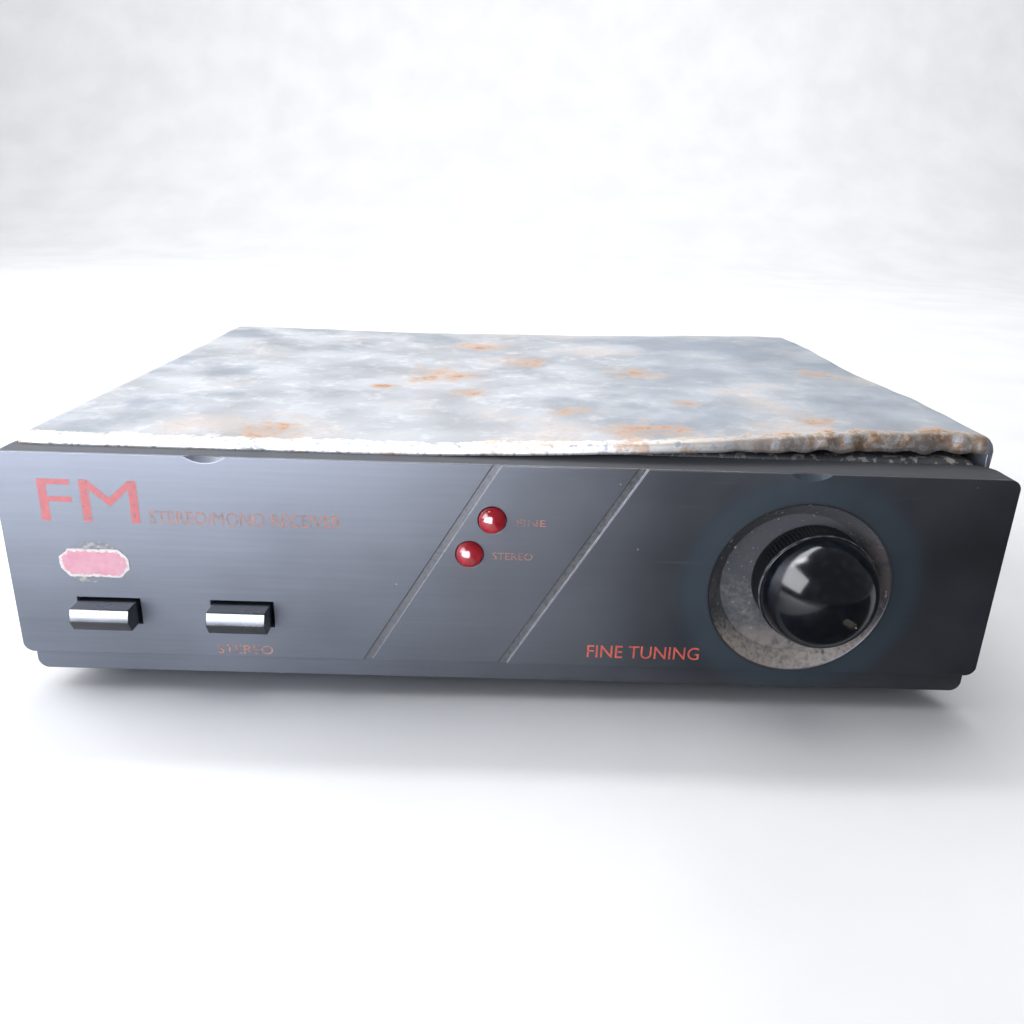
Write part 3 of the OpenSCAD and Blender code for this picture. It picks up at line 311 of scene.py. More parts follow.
# %% Dust in the grooves, specks and scratches
along_x = add(tree, "SeparateXYZ", {0: panel.place})
from_middle = add(tree, "Math", {0: along_x, 1: 0.0}, operation="ABSOLUTE")
deep_enough = add(tree, "MapRange", {0: depth, 1: 0.32 * mm, 2: 0.46 * mm}, **SOFT)
not_lip = add(tree, "MapRange", {0: depth, 1: 0.8 * mm, 2: 0.6 * mm}, **SOFT)
not_end = add(tree, "MapRange", {0: from_middle, 1: 45 * mm, 2: 40 * mm}, **SOFT)
not_dish = add(tree, "MapRange", {0: radius, 1: 17.5 * mm, 2: 18 * mm}, **SOFT)
colour = film(tree, colour, "#615d57", 0.75, deep_enough, not_lip, not_end, not_dish, crumbs)
cells = add(tree, "TexVoronoi", {"Vector": panel.place, "Scale": 1 / (4 * mm)}, "Distance")
chance = add(tree, "SeparateColor", {0: cells.node.outputs["Color"]})
few = add(tree, "MapRange", {0: chance, 1: 0.86, 2: 0.9}, **SOFT)
dots = add(tree, "MapRange", {0: cells, 1: 0.06, 2: 0.03}, **SOFT)
colour = film(tree, colour, "#a9adb2", 0.4, few, dots)
tree.links.new(colour, panel.shader.inputs["Base Color"])

scratches = add(tree, "MapRange", {0: streaks, 1: 0.6, 2: 0.75, 4: 0.1}, **SOFT)
rough = add(tree, "Math", {0: panel.shine, 1: scratches}, operation="ADD")
crown = add(tree, "Math", {0: on_crown, 1: at_top}, operation="MULTIPLY")
unpolished = add(tree, "Math", {0: in_dish, 1: crown}, operation="MAXIMUM")
rough = add(tree, "Math", {0: unpolished, 1: 0.4, 2: rough},
            operation="MULTIPLY_ADD", use_clamp=True)
tree.links.new(rough, panel.shader.inputs["Roughness"])
finishes["black_abs"] = panel.material
print("black_abs has", len(tree.nodes), "nodes")

# %% [markdown]
# The cover was zinc-coated sheet. The zinc has oxidised to blue-grey and chalky white in soft
# blotches, with darker wiped patches, and where the coat has failed the steel shows orange-brown
# rust: small islands all over, more of them towards the middle and the front, and a crust of white
# and brown along the front edge. The white along the front edge is partly oxide and partly a painted
# highlight on the bent lip. Towards the right the sheet is darkened in broad patches: painted shade,
# as the light comes from the left. Oxide hides most of the metal's mirror, so it is only a quarter
# metallic, and rust is not metallic at all.

# %% Oxidised zinc of the cover
zinc = two_tones("galvanised_cover", "#7a7c7e", "#929496", 16.0, (0.5, 0.66), 0.5, 0.02,
                 Metallic=0.25)
tree = zinc.tree
side_to_side = add(tree, "SeparateXYZ", {0: zinc.place})
broad = add(tree, "TexNoise", {
    "Vector": zinc.place, "Scale": 1 / (30 * mm), "Detail": 5.0, "Roughness": 0.6})
small = add(tree, "TexNoise", {
    "Vector": zinc.place, "Scale": 1 / (6 * mm), "Detail": 6.0, "Roughness": 0.7})
tiny = add(tree, "TexNoise", {"Vector": zinc.place, "Scale": 1 / (1.2 * mm), "Detail": 4.0})
white_oxide = add(tree, "MapRange", {0: small, 1: 0.47, 2: 0.76}, **SOFT)
wiped = add(tree, "MapRange", {0: broad, 1: 0.47, 2: 0.36}, **SOFT)
pinkish = add(tree, "MapRange", {0: broad, 1: 0.54, 2: 0.66}, **SOFT)
colour = film(tree, zinc.tone, "#b5b6b6", 0.55, white_oxide)
colour = film(tree, colour, "#626a72", 0.65, wiped)
colour = film(tree, colour, "#9c9187", 0.45, pinkish)

# %% [markdown]
# Rust comes in stains where water stood. Each stain is a soft spot, and all are added up and then
# broken up by a noise, so that their edges are ragged and only their middles are solid. The cover's
# mesh carries a point attribute with the distance from its front edge, in millimetres, and within a
# few of them a finer pattern adds a crust of white, which is partly oxide and partly a painted
# highlight on the bent lip, and to the right of brown rust.

# %% Rust stains, and the crust and painted highlight on the front edge
STAINS = [  # x, y and size, in mm
    (-16, 2, 9), (-9, -18, 4), (32, 4, 6), (24, -50, 6), (31, -49, 5), (78, 5, 6), (-45, -53, 6),
    (38, -30, 4), (12, -34, 4), (3, 22, 7), (76, 36, 4), (-9, 46, 7), (60, -44, 5), (-30, -12, 3),
]
amount = 0.0
for x, y, size in STAINS:
    middle = (x * mm, y * mm, float(cover_high[2]))
    offset = add(tree, "VectorMath", {0: zinc.place, 1: middle}, operation="SUBTRACT")
    distance = add(tree, "VectorMath", {0: offset}, "Value", operation="LENGTH")
    spot = add(tree, "MapRange", {0: distance, 1: size * 2.3 * mm, 2: 0.0}, **SOFT)
    amount = add(tree, "Math", {0: spot, 1: amount}, operation="MAXIMUM")
islands = add(tree, "TexNoise", {
    "Vector": zinc.place, "Scale": 1 / (5 * mm), "Detail": 7.0, "Roughness": 0.65})
uneven = add(tree, "Math", {0: islands, 1: 3.4, 2: -1.95}, operation="MULTIPLY_ADD")
rusting = add(tree, "Math", {0: amount, 1: uneven}, operation="ADD")
rust_halo = add(tree, "MapRange", {0: rusting, 1: 0.15, 2: 0.9}, **SOFT)
rust_spots = add(tree, "MapRange", {0: rusting, 1: 0.7, 2: 1.1}, **SOFT)
from_front = add(tree, "Attribute", {}, "Fac", attribute_name="from_front")
ragged_front = add(tree, "Math", {0: small, 1: -9.0, 2: from_front}, operation="MULTIPLY_ADD")
near_front = add(tree, "MapRange", {0: ragged_front, 1: -1.5, 2: -3.0}, **SOFT)
right_front = add(tree, "MapRange", {0: ragged_front, 1: 0.5, 2: -2.0}, **SOFT)
rightwards = add(tree, "MapRange", {0: side_to_side, 1: -5 * mm, 2: 60 * mm}, **SOFT)
crumble = add(tree, "MapRange", {0: tiny, 1: 0.36, 2: 0.5}, **SOFT)
chalk = add(tree, "MapRange", {0: tiny, 1: 0.35, 2: 0.5}, **SOFT)
right_shade_patches = add(tree, "MapRange", {0: broad, 1: 0.66, 2: 0.42}, **SOFT)
freckles = add(tree, "MapRange", {0: tiny, 1: 0.52, 2: 0.62}, **SOFT)
orange = add(tree, "MapRange", {0: small, 1: 0.5, 2: 0.62}, **SOFT)
colour = film(tree, colour, "#94765c", 0.35, pinkish, freckles)
# Painted shade: the cover's right part is darkened in broad patches, as the light comes from the left.
colour = film(tree, colour, "#66707a", 0.5, rightwards, right_shade_patches)
colour = film(tree, colour, "#a07c5a", 0.7, rust_halo)
colour = film(tree, colour, "#8a5428", 0.85, rust_spots, chalk)
# Oxide and painted highlight: the white along the front edge stands also for the light on the bent lip.
colour = film(tree, colour, "#d9d6cd", 0.85, near_front, chalk)
colour = film(tree, colour, "#a8835c", 0.65, near_front, orange)
colour = film(tree, colour, "#a87c52", 0.75, right_front, rightwards, orange)
colour = film(tree, colour, "#5d4426", 0.78, near_front, rightwards, crumble)
tree.links.new(colour, zinc.shader.inputs["Base Color"])
bare = add(tree, "Math", {0: 0.25, 1: rust_halo}, operation="SUBTRACT", use_clamp=True)
tree.links.new(bare, zinc.shader.inputs["Metallic"])
pits = add(tree, "Bump", {"Height": tiny, "Distance": 0.12 * mm, "Strength": rust_halo})
relief = add(tree, "Bump", {"Height": small, "Distance": 0.25 * mm, "Normal": pits})
tree.links.new(relief, zinc.shader.inputs["Normal"])
finishes["galvanised_cover"] = zinc.material

# %% [markdown]
# The tray and the transformer's strap are the same sheet, less weathered under the cover: duller
# grey, with white oxide and a few brown stains. Along the front, in the gap under the lifted cover,
# it is painted nearly black as shade, with crumbs of oxide.

# %% Dull zinc of the tray
dull = two_tones("galvanised_tray", "#6f757c", "#9aa1a8", 9.0, (0.4, 0.6), 0.4, 0.015, Metallic=0.6)
tree = dull.tree
small = add(tree, "TexNoise", {
    "Vector": dull.place, "Scale": 1 / (3 * mm), "Detail": 6.0, "Roughness": 0.7})
stains = add(tree, "MapRange", {0: small, 1: 0.58, 2: 0.7}, **SOFT)
oxide = add(tree, "MapRange", {0: small, 1: 0.44, 2: 0.34}, **SOFT)
colour = film(tree, dull.tone, "#6b4c33", 0.7, stains)
colour = film(tree, colour, "#d6d8d8", 0.6, oxide)
back_to_front = add(tree, "SeparateXYZ", {0: dull.place}, 1)
shade_under_cover = add(tree, "MapRange", {0: back_to_front, 1: wall_y + 16 * mm, 2: wall_y + 4 * mm}, **SOFT)
crumbly = add(tree, "TexNoise", {"Vector": dull.place, "Scale": 1 / (1.5 * mm), "Detail": 4.0})
oxide_crumbs = add(tree, "MapRange", {0: crumbly, 1: 0.52, 2: 0.6}, **SOFT)
# Painted shade: the tray's front, in the gap under the lifted cover, is made nearly black.
colour = film(tree, colour, "#241d18", 0.92, shade_under_cover)
colour = film(tree, colour, "#b7b1a6", 0.75, shade_under_cover, oxide_crumbs)
tree.links.new(colour, dull.shader.inputs["Base Color"])
metallic_outside_shade = add(tree, "MapRange", {0: shade_under_cover, 3: 0.6, 4: 0.0})
tree.links.new(metallic_outside_shade, dull.shader.inputs["Metallic"])
finishes["galvanised_tray"] = dull.material
print("metal sheets done;", len(finishes), "finishes")

# %% [markdown]
# The knob is turned-looking moulded ABS, polished once: its dome still mirrors a window, under a
# thin haze of dust. The rim's edge is worn pale, and the pale line is kept to its upper side, where
# it is a painted highlight as well as wear. The buttons are the same plastic, satin. Two point
# attributes that the knob's mesh carries say where the dust lies in the pointer slot and where the
# rim's edge carries the wear and the painted highlight.

# %% Plastics of the knob and the buttons
gloss = two_tones("gloss_black_knob", "#06080d", "#0a0e15", 6.0, (0.12, 0.19), 0.4, 0.002, IOR=1.47)
tree = gloss.tree
dust = add(tree, "Attribute", {}, "Fac", attribute_name="dust")
wear = add(tree, "Attribute", {}, "Fac", attribute_name="wear")
haze = add(tree, "TexNoise", {"Vector": gloss.place, "Scale": 1 / (1.5 * mm), "Detail": 5.0})
settled = add(tree, "MapRange", {0: haze, 1: 0.45, 2: 0.7}, **SOFT)
colour = film(tree, gloss.tone, "#3a424c", 0.12, settled)
colour = film(tree, colour, "#5f5850", 0.85, dust)
# Wear and painted highlight: a pale line on the rim's edge, over its upper side.
colour = film(tree, colour, "#8a8f94", 0.6, wear)
tree.links.new(colour, gloss.shader.inputs["Base Color"])
finishes["gloss_black_knob"] = gloss.material
satin = two_tones("black_button", "#14171b", "#1b1f24", 5.0, (0.2, 0.28), 0.3, 0.004, IOR=1.56)
finishes["black_button"] = satin.material

# %% [markdown]
# The lamps are light-emitting diodes moulded in red tinted epoxy. Unlit, such a lens is a deep,
# slightly cloudy red with a wet shine, so light enters it and scatters a little.

# %% Red epoxy of the lamps
lens = two_tones("red_lamp_lens", "#a80c1e", "#cf1c30", 2.5, (0.12, 0.25), 0.5, 0.004, IOR=1.55,
                 Subsurface_Weight=0.5, Subsurface_Scale=1.5 * mm, Coat_Weight=0.3)
finishes["red_lamp_lens"] = lens.material

# %% [markdown]
# The label was a red printed paper sticker with its corners cut. The print has faded to pink, and
# the border is torn and rubbed down to the cream paper. The mesh carries a point attribute with the
# distance to its edge, in millimetres, and a noise eats into that distance.

# %% Faded paper of the label
paper = two_tones("red_paper_label", "#c75d70", "#dd8c98", 3.0, (0.55, 0.75), 0.25, 0.02)
tree = paper.tree
to_edge = add(tree, "Attribute", {}, "Fac", attribute_name="to_edge")
fibre = add(tree, "TexNoise", {
    "Vector": paper.place, "Scale": 1 / (0.9 * mm), "Detail": 5.0, "Roughness": 0.7})
eaten = add(tree, "Math", {0: fibre, 1: 2.0, 2: -0.72}, operation="MULTIPLY_ADD")
left_over = add(tree, "Math", {0: to_edge, 1: eaten}, operation="SUBTRACT")
border = add(tree, "MapRange", {0: left_over, 1: 0.35, 2: 0.1}, **SOFT)
scuffs = add(tree, "MapRange", {0: fibre, 1: 0.6, 2: 0.72}, **SOFT)
colour = film(tree, paper.tone, "#f0dcd6", 0.55, scuffs)
colour = film(tree, colour, "#e3dbcf", 0.95, border)
tree.links.new(colour, paper.shader.inputs["Base Color"])
finishes["red_paper_label"] = paper.material

# %% [markdown]
# Silk-screened ink wears off in islands, and the panel's grey shows through, so each ink mixes its
# own colour with the panel's by a fine noise. What is left of an older, larger sticker is a thin
# film of dried glue.

# %% Inks and old glue
INKS = {
    # name: dark, light, panel grey that shows through, share that is left (low, high of the ramp)
    # The panel grey under each ink is not bare charcoal: it carries the panel's painted sheen where the print
    # lies.
    "faded_pink_ink": ("#c2413c", "#d95c52", "#565b65", (0.30, 0.42)),
    "faded_tan_ink": ("#ad643f", "#cc825a", "#4b4f57", (0.34, 0.58)),
    "orange_ink": ("#e0472a", "#f2643c", "#3a3d44", (0.26, 0.38)),
    "old_glue": ("#a9a294", "#c6beb0", "#5a5f69", (0.42, 0.68)),
}
for name, (dark, light, under, (gone, whole)) in INKS.items():
    ink = two_tones(name, dark, light, 2.0, (0.6, 0.75), 0.3, 0.004, IOR=1.38)
    islands = add(ink.tree, "TexNoise", {
        "Vector": ink.place, "Scale": 1 / (0.7 * mm), "Detail": 4.0})
    worn = add(ink.tree, "MapRange", {0: islands, 1: whole, 2: gone}, **SOFT)
    ink.tree.links.new(film(ink.tree, ink.tone, under, 0.9, worn), ink.shader.inputs["Base Color"])
    finishes[name] = ink.material
print(len(finishes), "finishes in all")

# %% [markdown]
# Now every CAD node gets the finish of its material slot. The nodes that a more detailed piece
# replaces later are hidden by then, and keep theirs all the same.

# %% Give the CAD nodes their finishes
slots = {part["node"]: part["material_slot"] for part in frame["record"]["subparts"]}
for name, node in frame["nodes"].items():
    for used in node.material_slots:
        used.material = finishes[slots[name]]
print(len(slots), "nodes use", len(set(slots.values())), "slots")

# %% [markdown]
# New pieces are grids of points worked out with numpy. One function turns a grid into a mesh,
# another puts a mesh into the scene as a piece that rides on a CAD body and may stand for a CAD
# node. Merging doubles closes the poles, where a whole row of the grid falls on one point.

# %% Grid to mesh, mesh to piece
def surface(name, points, around=False, sharp=40, **values):
    """A mesh through points, an array (rows, columns, 3): a quad joins each point to its neighbours
    in the next row and the next column, and `around` joins the last column to the first. values
    are point attributes, arrays (rows, columns). Edges over `sharp` degrees are shaded hard."""
    rows, columns = points.shape[:2]
    corner = np.arange(rows * columns).reshape(rows, columns)
    if around:
        corner = np.hstack([corner, corner[:, :1]])
    quads = np.stack([corner[:-1, :-1], corner[:-1, 1:], corner[1:, 1:], corner[1:, :-1]], axis=-1)
    mesh = bpy.data.meshes.new(name)
    mesh.from_pydata(points.reshape(-1, 3).tolist(), [], quads.reshape(-1, 4).tolist())
    for label, value in values.items():
        carried = mesh.attributes.new(label, "FLOAT", "POINT")
        carried.data.foreach_set("value", value.ravel().astype(np.float32))
    return merged(mesh, sharp)


def merged(mesh, sharp, flat=None):
    """The mesh with doubles within a micrometre merged, its normals turned outwards, and its edges
    over `sharp` degrees hard. flat, in degrees, first dissolves the edges in near-flat faces."""
    work = bmesh.new()
    work.from_mesh(mesh)
    bmesh.ops.remove_doubles(work, verts=work.verts, dist=0.001 * mm)
    if flat:
        bmesh.ops.dissolve_limit(
            work, angle_limit=np.radians(flat), verts=work.verts, edges=work.edges)
    bmesh.ops.recalc_face_normals(work, faces=work.faces)
    work.to_mesh(mesh)
    work.free()
    mesh.polygons.foreach_set("use_smooth", np.ones(len(mesh.polygons), dtype=bool))
    mesh.set_sharp_from_angle(angle=np.radians(sharp))
    return mesh


def piece(mesh, finish, body, *stands_for):
    """The mesh as an object at the origin, riding on a CAD body and standing for CAD nodes."""
    made = bpy.data.objects.new(mesh.name, mesh)
    scene.collection.objects.link(made)
    mesh.materials.clear()
    mesh.materials.append(finishes[finish])
    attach(made, body)
    if stands_for:
        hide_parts(*stands_for)
    return made


def step(value, start, end):
    """Smooth step: 0 before start, 1 after end, 3t^2 - 2t^3 between; start may be above end."""
    t = np.clip((value - start) / (end - start), 0, 1)
    return t * t * (3 - 2 * t)


# %% [markdown]
# The moulded panel keeps its CAD shape, but a moulding has no sharp edges: every edge is rounded by
# about a third of a millimetre, and that thin round is what catches the light along the front. A
# copy of the CAD mesh is merged, its flat faces joined into whole ones, and a Bevel modifier rounds
# all edges over 30 degrees. The two shallow dents in the top edge meet the face at a lower angle, so
# edges over 12 degrees are shaded hard, and weighted normals keep the large face flat up to its
# rounds.

# %% Rounded edges on the panel
panel_mesh = merged(frame["nodes"]["front_panel"].data.copy(), 12, flat=0.5)
panel_mesh.name = "moulded_panel"
moulded_panel = piece(panel_mesh, "black_abs", "case", "front_panel")
rounding = moulded_panel.modifiers.new("rounded_edges", "BEVEL")
rounding.width = 0.3 * mm
rounding.segments = 3
rounding.limit_method = "ANGLE"
rounding.angle_limit = np.radians(30)
even = moulded_panel.modifiers.new("flat_faces_shade_flat", "WEIGHTED_NORMAL")
even.keep_sharp = True
print("panel:", len(panel_mesh.polygons), "faces before rounding")

# %% [markdown]
# The cover is one sheet folded down at both sides, with a small lip turned down along its front. It
# has been prised off and put back many times. The lid now stands about four millimetres too high
# at the front right, its sides stand out a little towards the top, and it sags and waves. Its front
# edge runs forward over the panel's top on the left, but falls back behind it on the right, where
# rust has eaten it ragged and a crust hangs down from it.
#
# The surface is a grid. Its columns follow the front view of the sheet, up the left side, round the
# fold, across the top and down. Its rows follow the side view, up the front lip and back along the
# top. A Solidify modifier then gives the sheet its real thickness.

# %% Front view of the cover, as a path
thick = 0.8 * mm
half = float(cover_high[0]) - thick / 2
top = float(cover_high[2]) - thick / 2
foot, fold = float(cover_low[2]), 2.6 * mm
climb = np.linspace(foot, top - fold, 14)[:-1]
bend = np.linspace(0, np.pi / 2, 9)
flat = np.linspace(-half + fold, half - fold, 161)[1:-1]
left_x = np.concatenate([np.full(13, -half), -half + fold * (1 - np.cos(bend))])
left_z = np.concatenate([climb, top - fold * (1 - np.sin(bend))])
path_x = np.concatenate([left_x, flat, -left_x[::-1]])
path_z = np.concatenate([left_z, np.full(len(flat), top), left_z[::-1]])
print("cover path:", len(path_x), "points,", round(2 * half / mm, 1), "mm wide")

# %% Bent sheet of the cover
def waves(x, y, length, seed, count=6):
    """Gentle irregular waves: the mean of `count` plane sine waves of random direction and phase,
    with wavelengths from 0.7 to 1.6 times `length`. Runs from about -1 to 1."""
    dice = np.random.default_rng(seed)
    turn, shift = dice.uniform(0, 2 * np.pi, (2, count))
    pitch = length * dice.uniform(0.7, 1.6, count)
    run = x[..., None] * np.cos(turn) + y[..., None] * np.sin(turn)
    return np.sin(2 * np.pi * run / pitch + shift).sum(-1) / np.sqrt(count)


def bent_cover():
    """Columns as path_x, path_z. Each row has a distance back from the front edge, and a drop below
    the sheet for the rows of the lip. The front edge's place, the lip and the lift change with X."""
    lip_rows = [0, 0, 0, 0.12, 0.45]
    back = np.concatenate([lip_rows, np.linspace(1.0, 8.0, 12), np.linspace(10, 130, 70)]) * mm
    drop = np.concatenate([[1.45, 1.0, 0.5, 0.14, 0.03], np.zeros(82)]) * mm
    on_top = np.clip((path_z - (top - fold)) / fold, 0, 1)
    right_end = step(path_x, 22 * mm, 80 * mm)
    ragged = step(path_x, 30 * mm, 60 * mm)
    still = np.zeros_like(path_x)
    front = face_y + (5.0 + 5.6 * right_end) * mm
    bitten = 0.45 * waves(path_x, still, 9 * mm, 3) + 0.25 * waves(path_x, still, 3 * mm, 4)
    front = front + ragged * bitten * mm
    side_front = face_y + 10.2 * mm
    front = front * on_top + side_front * (1 - on_top)
    rear = float(cover_high[1])
    share = back / back[-1]
    y = front + (rear - front) * share[:, None]
    y[:17] = front + back[:17, None]
    lift = 3.7 * step(path_x, -30 * mm, 82 * mm) * mm
    lift = lift * (1 - 0.45 * share[:, None]) * step(path_z, 16 * mm, top)
    sprung = np.where(path_x < 0, 1.7 * (1 - share[:, None]), 2.4 - 1.2 * share[:, None]) * mm
    x = path_x * (1 + sprung * step(path_z, 12 * mm, top - fold) / half)
    sway = 0.28 * waves(x, y, 60 * mm, 7) + 0.07 * waves(x, y, 14 * mm, 8)
    ends = step(y, side_front, side_front + 12 * mm)
    hanging = 1 + 1.2 * right_end + 0.35 * ragged * waves(path_x, still, 5 * mm, 5)
    lip = drop[:, None] * on_top * hanging
    z = path_z + lift + (sway * mm) * on_top * (0.3 + 0.7 * ends) - lip
    from_edge = np.broadcast_to(back[:, None] / mm, y.shape) + 20 * (1 - on_top)
    return np.stack([x, y, z], axis=-1), from_edge


sheet, from_front = bent_cover()
cover_mesh = surface("bent_cover", sheet, sharp=70, from_front=from_front)
cover = piece(cover_mesh, "galvanised_cover", "case", "top_cover")
solid = cover.modifiers.new("sheet_thickness", "SOLIDIFY")
solid.thickness = thick
solid.offset = 0
print("cover:", sheet.shape[0], "by", sheet.shape[1], "points")

# %% [markdown]
# The knob is a body of revolution: a dome, a thin rim and a skirt of 90 ribs, hollow for its shaft.
# Only two things break the roundness, the ribs and the pointer slot, a short groove sunk in the
# dome. So the grid is the revolved profile, and both are added as a change of radius or depth.

# %% Revolved and ribbed knob
def revolve(profile, middle, columns):
    """A profile of (radius, y) points, in mm, turned about an axis along Y through middle (x, z),
    in metres. Returns the points and the angles, clockwise from the top as seen from the front."""
    radius, along = np.array(profile).T * mm
    turn = np.linspace(0, 2 * np.pi, columns, endpoint=False)
    x = middle[0] + radius[:, None] * np.sin(turn)
    z = middle[1] + radius[:, None] * np.cos(turn)
    return np.stack([x, np.broadcast_to(along[:, None], x.shape), z], axis=-1), turn


dome_r, dome_out, rim_y = 10.5, 10.2, face_y / mm - 3.0
polar = np.radians(np.linspace(0, 88, 89))
profile = [(dome_r * s, rim_y - dome_out * c) for s, c in zip(np.sin(polar), np.cos(polar))]
profile += [(10.52, rim_y - 0.12), (10.6, rim_y - 0.04), (10.7, rim_y), (10.8, rim_y + 0.08)]
profile += [(10.8, rim_y + 0.45)]
profile += [(10.7, rim_y + 0.5)] + [(10.7, rim_y + d) for d in np.linspace(0.56, 5.5, 8)]
back_y, bore_y = rim_y + 5.7, rim_y - 1.05
profile += [(10.5, back_y), (10.3, back_y), (3.02, back_y), (3.02, bore_y), (0, bore_y)]
shape, turn = revolve(profile, (knob_x, knob_z), 720)
ribbed = slice(95, 102)
dip = 0.35 * mm * (0.5 - 0.5 * np.cos(90 * turn))
shape[ribbed, :, 0] -= dip * np.sin(turn)
shape[ribbed, :, 2] -= dip * np.cos(turn)
print("knob:", shape.shape[:2], "points")

# %% Pointer slot, dust, and the worn edge with its painted highlight
slot_turn, slot_tilt = np.radians(124), np.radians(18)
from_axis = shape[:, :, [0, 2]] - (knob_x, knob_z)
outward = np.array([np.sin(slot_turn), np.cos(slot_turn)])
along_slot = from_axis @ outward - dome_r * mm * np.sin(slot_tilt)
across_slot = from_axis @ (outward[1], -outward[0])
to_line = np.hypot(np.maximum(np.abs(along_slot) - 1.05 * mm, 0), across_slot)
inside = step(to_line, 0.75 * mm, 0.5 * mm) * (np.arange(len(profile)) < 89)[:, None]
shape[..., 1] += 0.6 * mm * inside
edge = np.isin(np.arange(len(profile)), (91, 92))[:, None]
# Painted highlight and wear: the pale rim line covers the upper side, which faces the light.
lit_upper_side = step(np.cos(turn - np.radians(-15)), -0.35, 0.05)
wear = edge * lit_upper_side * (0.6 + 0.4 * np.sin(23 * turn) * np.sin(7 * turn + 1))
knob_mesh = surface("domed_knob", shape, around=True, dust=inside, wear=wear)
piece(knob_mesh, "gloss_black_knob", "knob", "tuning_knob")
print("knob spans y", [round(float(v) / mm, 1) for v in (shape[..., 1].min(), shape[..., 1].max())])

# %% [markdown]
# A push button is a bar with a slanted front: its upper band leans back and looks up at the light,
# and below a soft ridge the front cuts back sharply. The section is drawn in the side view and
# carried along X, and a Bevel modifier softens its edges as the mould did.

# %% Push buttons
def bar(name, section, start, end):
    """A closed section of (y, z) points, in metres, carried along X from start to end, with flat
    ends."""
    count = len(section)
    ends = [np.column_stack([np.full(count, x), section]) for x in (start, end)]
    here = np.arange(count)
    after = np.roll(here, -1)
    sides = np.stack([here, after, after + count, here + count], axis=-1)
    mesh = bpy.data.meshes.new(name)
    faces = [*sides.tolist(), here.tolist(), (here + count).tolist()]
    mesh.from_pydata(np.vstack(ends).tolist(), [], faces)
    return merged(mesh, 30)


for node, body in (("power_button", "power_key"), ("stereo_button", "stereo_key")):
    low, high = (np.array(v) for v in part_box(node))
    front, back, bottom, crown = low[1], high[1], low[2], high[2]
    section = np.array([
        (back, crown), (front + 0.8 * mm, crown), (front + 0.04 * mm, crown - 2.1 * mm),
        (front + 0.06 * mm, crown - 2.4 * mm), (front + 1.3 * mm, bottom), (back, bottom),
    ])
    key = piece(bar(node + "_bar", section, low[0], high[0]), "black_button", body, node)
    soft = key.modifiers.new("moulded_edges", "BEVEL")
    soft.width, soft.segments, soft.limit_method = 0.22 * mm, 3, "ANGLE"
    print(node, "spans", [round(float(v) / mm, 1) for v in high - low], "mm")

# %% [markdown]
# Behind each button a coil spring is pressed between the button's back and the switch. It shortens
# as the button goes in. The CAD coil is replaced by a tube of wire carried along a helix, and the
# button's travel is read from its joint.

# %% Button springs
def coil(name, middle, start, end, radius, wire, turns):
    """A wire of radius `wire` along a helix about Y through middle (x, z): its centre line is at
    radius * (sin a, cos a), and y grows evenly with a from start to end. Each end is closed by a
    ring of no size."""
    a = np.linspace(0, 2 * np.pi * turns, 36 * turns + 1)[:, None]
    ring = np.linspace(0, 2 * np.pi, 14, endpoint=False)
    size = np.ones(len(a) + 2)[:, None] * wire
    size[[0, -1]] = 0
    a = np.vstack([a[:1], a, a[-1:]])
    out = radius + size * np.cos(ring)
    y = start + (end - start) * a / a[-1] + size * np.sin(ring)
    x, z = middle[0] + out * np.sin(a), middle[1] + out * np.cos(a)
    return surface(name, np.stack([x, y, z], axis=-1), around=True)


for node, joint in (("power_spring", "power_press"), ("stereo_spring", "stereo_press")):
    low, high = (np.array(v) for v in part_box(node))
    middle, length = (low + high) / 2, float(high[1] - low[1])
    wire, reach = 0.25 * mm, (high[0] - low[0]) / 2
    ends = low[1] + wire, high[1] - wire
    mesh = coil(node + "_coil", middle[[0, 2]], *ends, reach - wire, wire, 4)
    soft_coil = piece(mesh, "spring_wire", "case", node)
    travel = next(j for j in frame["joints"] if j["name"] == joint)["range_m"][1]
    left_over = 1 - (travel + 0.1 * mm) / length
    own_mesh(soft_coil)
    print(node, "is", round(length / mm, 2), "mm long and gives way by", travel / mm, "mm")

# %% [markdown]
# Each lamp is a bullet-shaped lens: a half sphere on a short cylinder, with a flange behind the
# panel that stops it.

# %% Lamp lenses
for node in ("upper_lamp", "lower_lamp"):
    low, high = (np.array(v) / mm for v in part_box(node))
    middle = (low[0] + high[0]) / 2 * mm, (low[2] + high[2]) / 2 * mm
    lens_r, flange_r = 2.5, (high[0] - low[0]) / 2
    arc = np.radians(np.linspace(0, 90, 19))
    profile = [(lens_r * s, low[1] + lens_r * (1 - c)) for s, c in zip(np.sin(arc), np.cos(arc))]
    flange_y = high[1] - 1.0
    profile += [(lens_r, flange_y), (flange_r - 0.15, flange_y), (flange_r, high[1] - 0.85)]
    profile += [(flange_r, high[1] - 0.15), (flange_r - 0.15, high[1]), (0, high[1])]
    shape, _ = revolve(profile, middle, 72)
    piece(surface(node + "_lens", shape, around=True), "red_lamp_lens", "case", node)
print("two lamp lenses, radius", lens_r, "mm")

# %% [markdown]
# The label is a thin octagon. Its grid is a fan of rings from the middle to the edge: each ring is
# the outline scaled down, so the distance to the edge grows inwards, and the torn outline is the
# octagon with small bites.

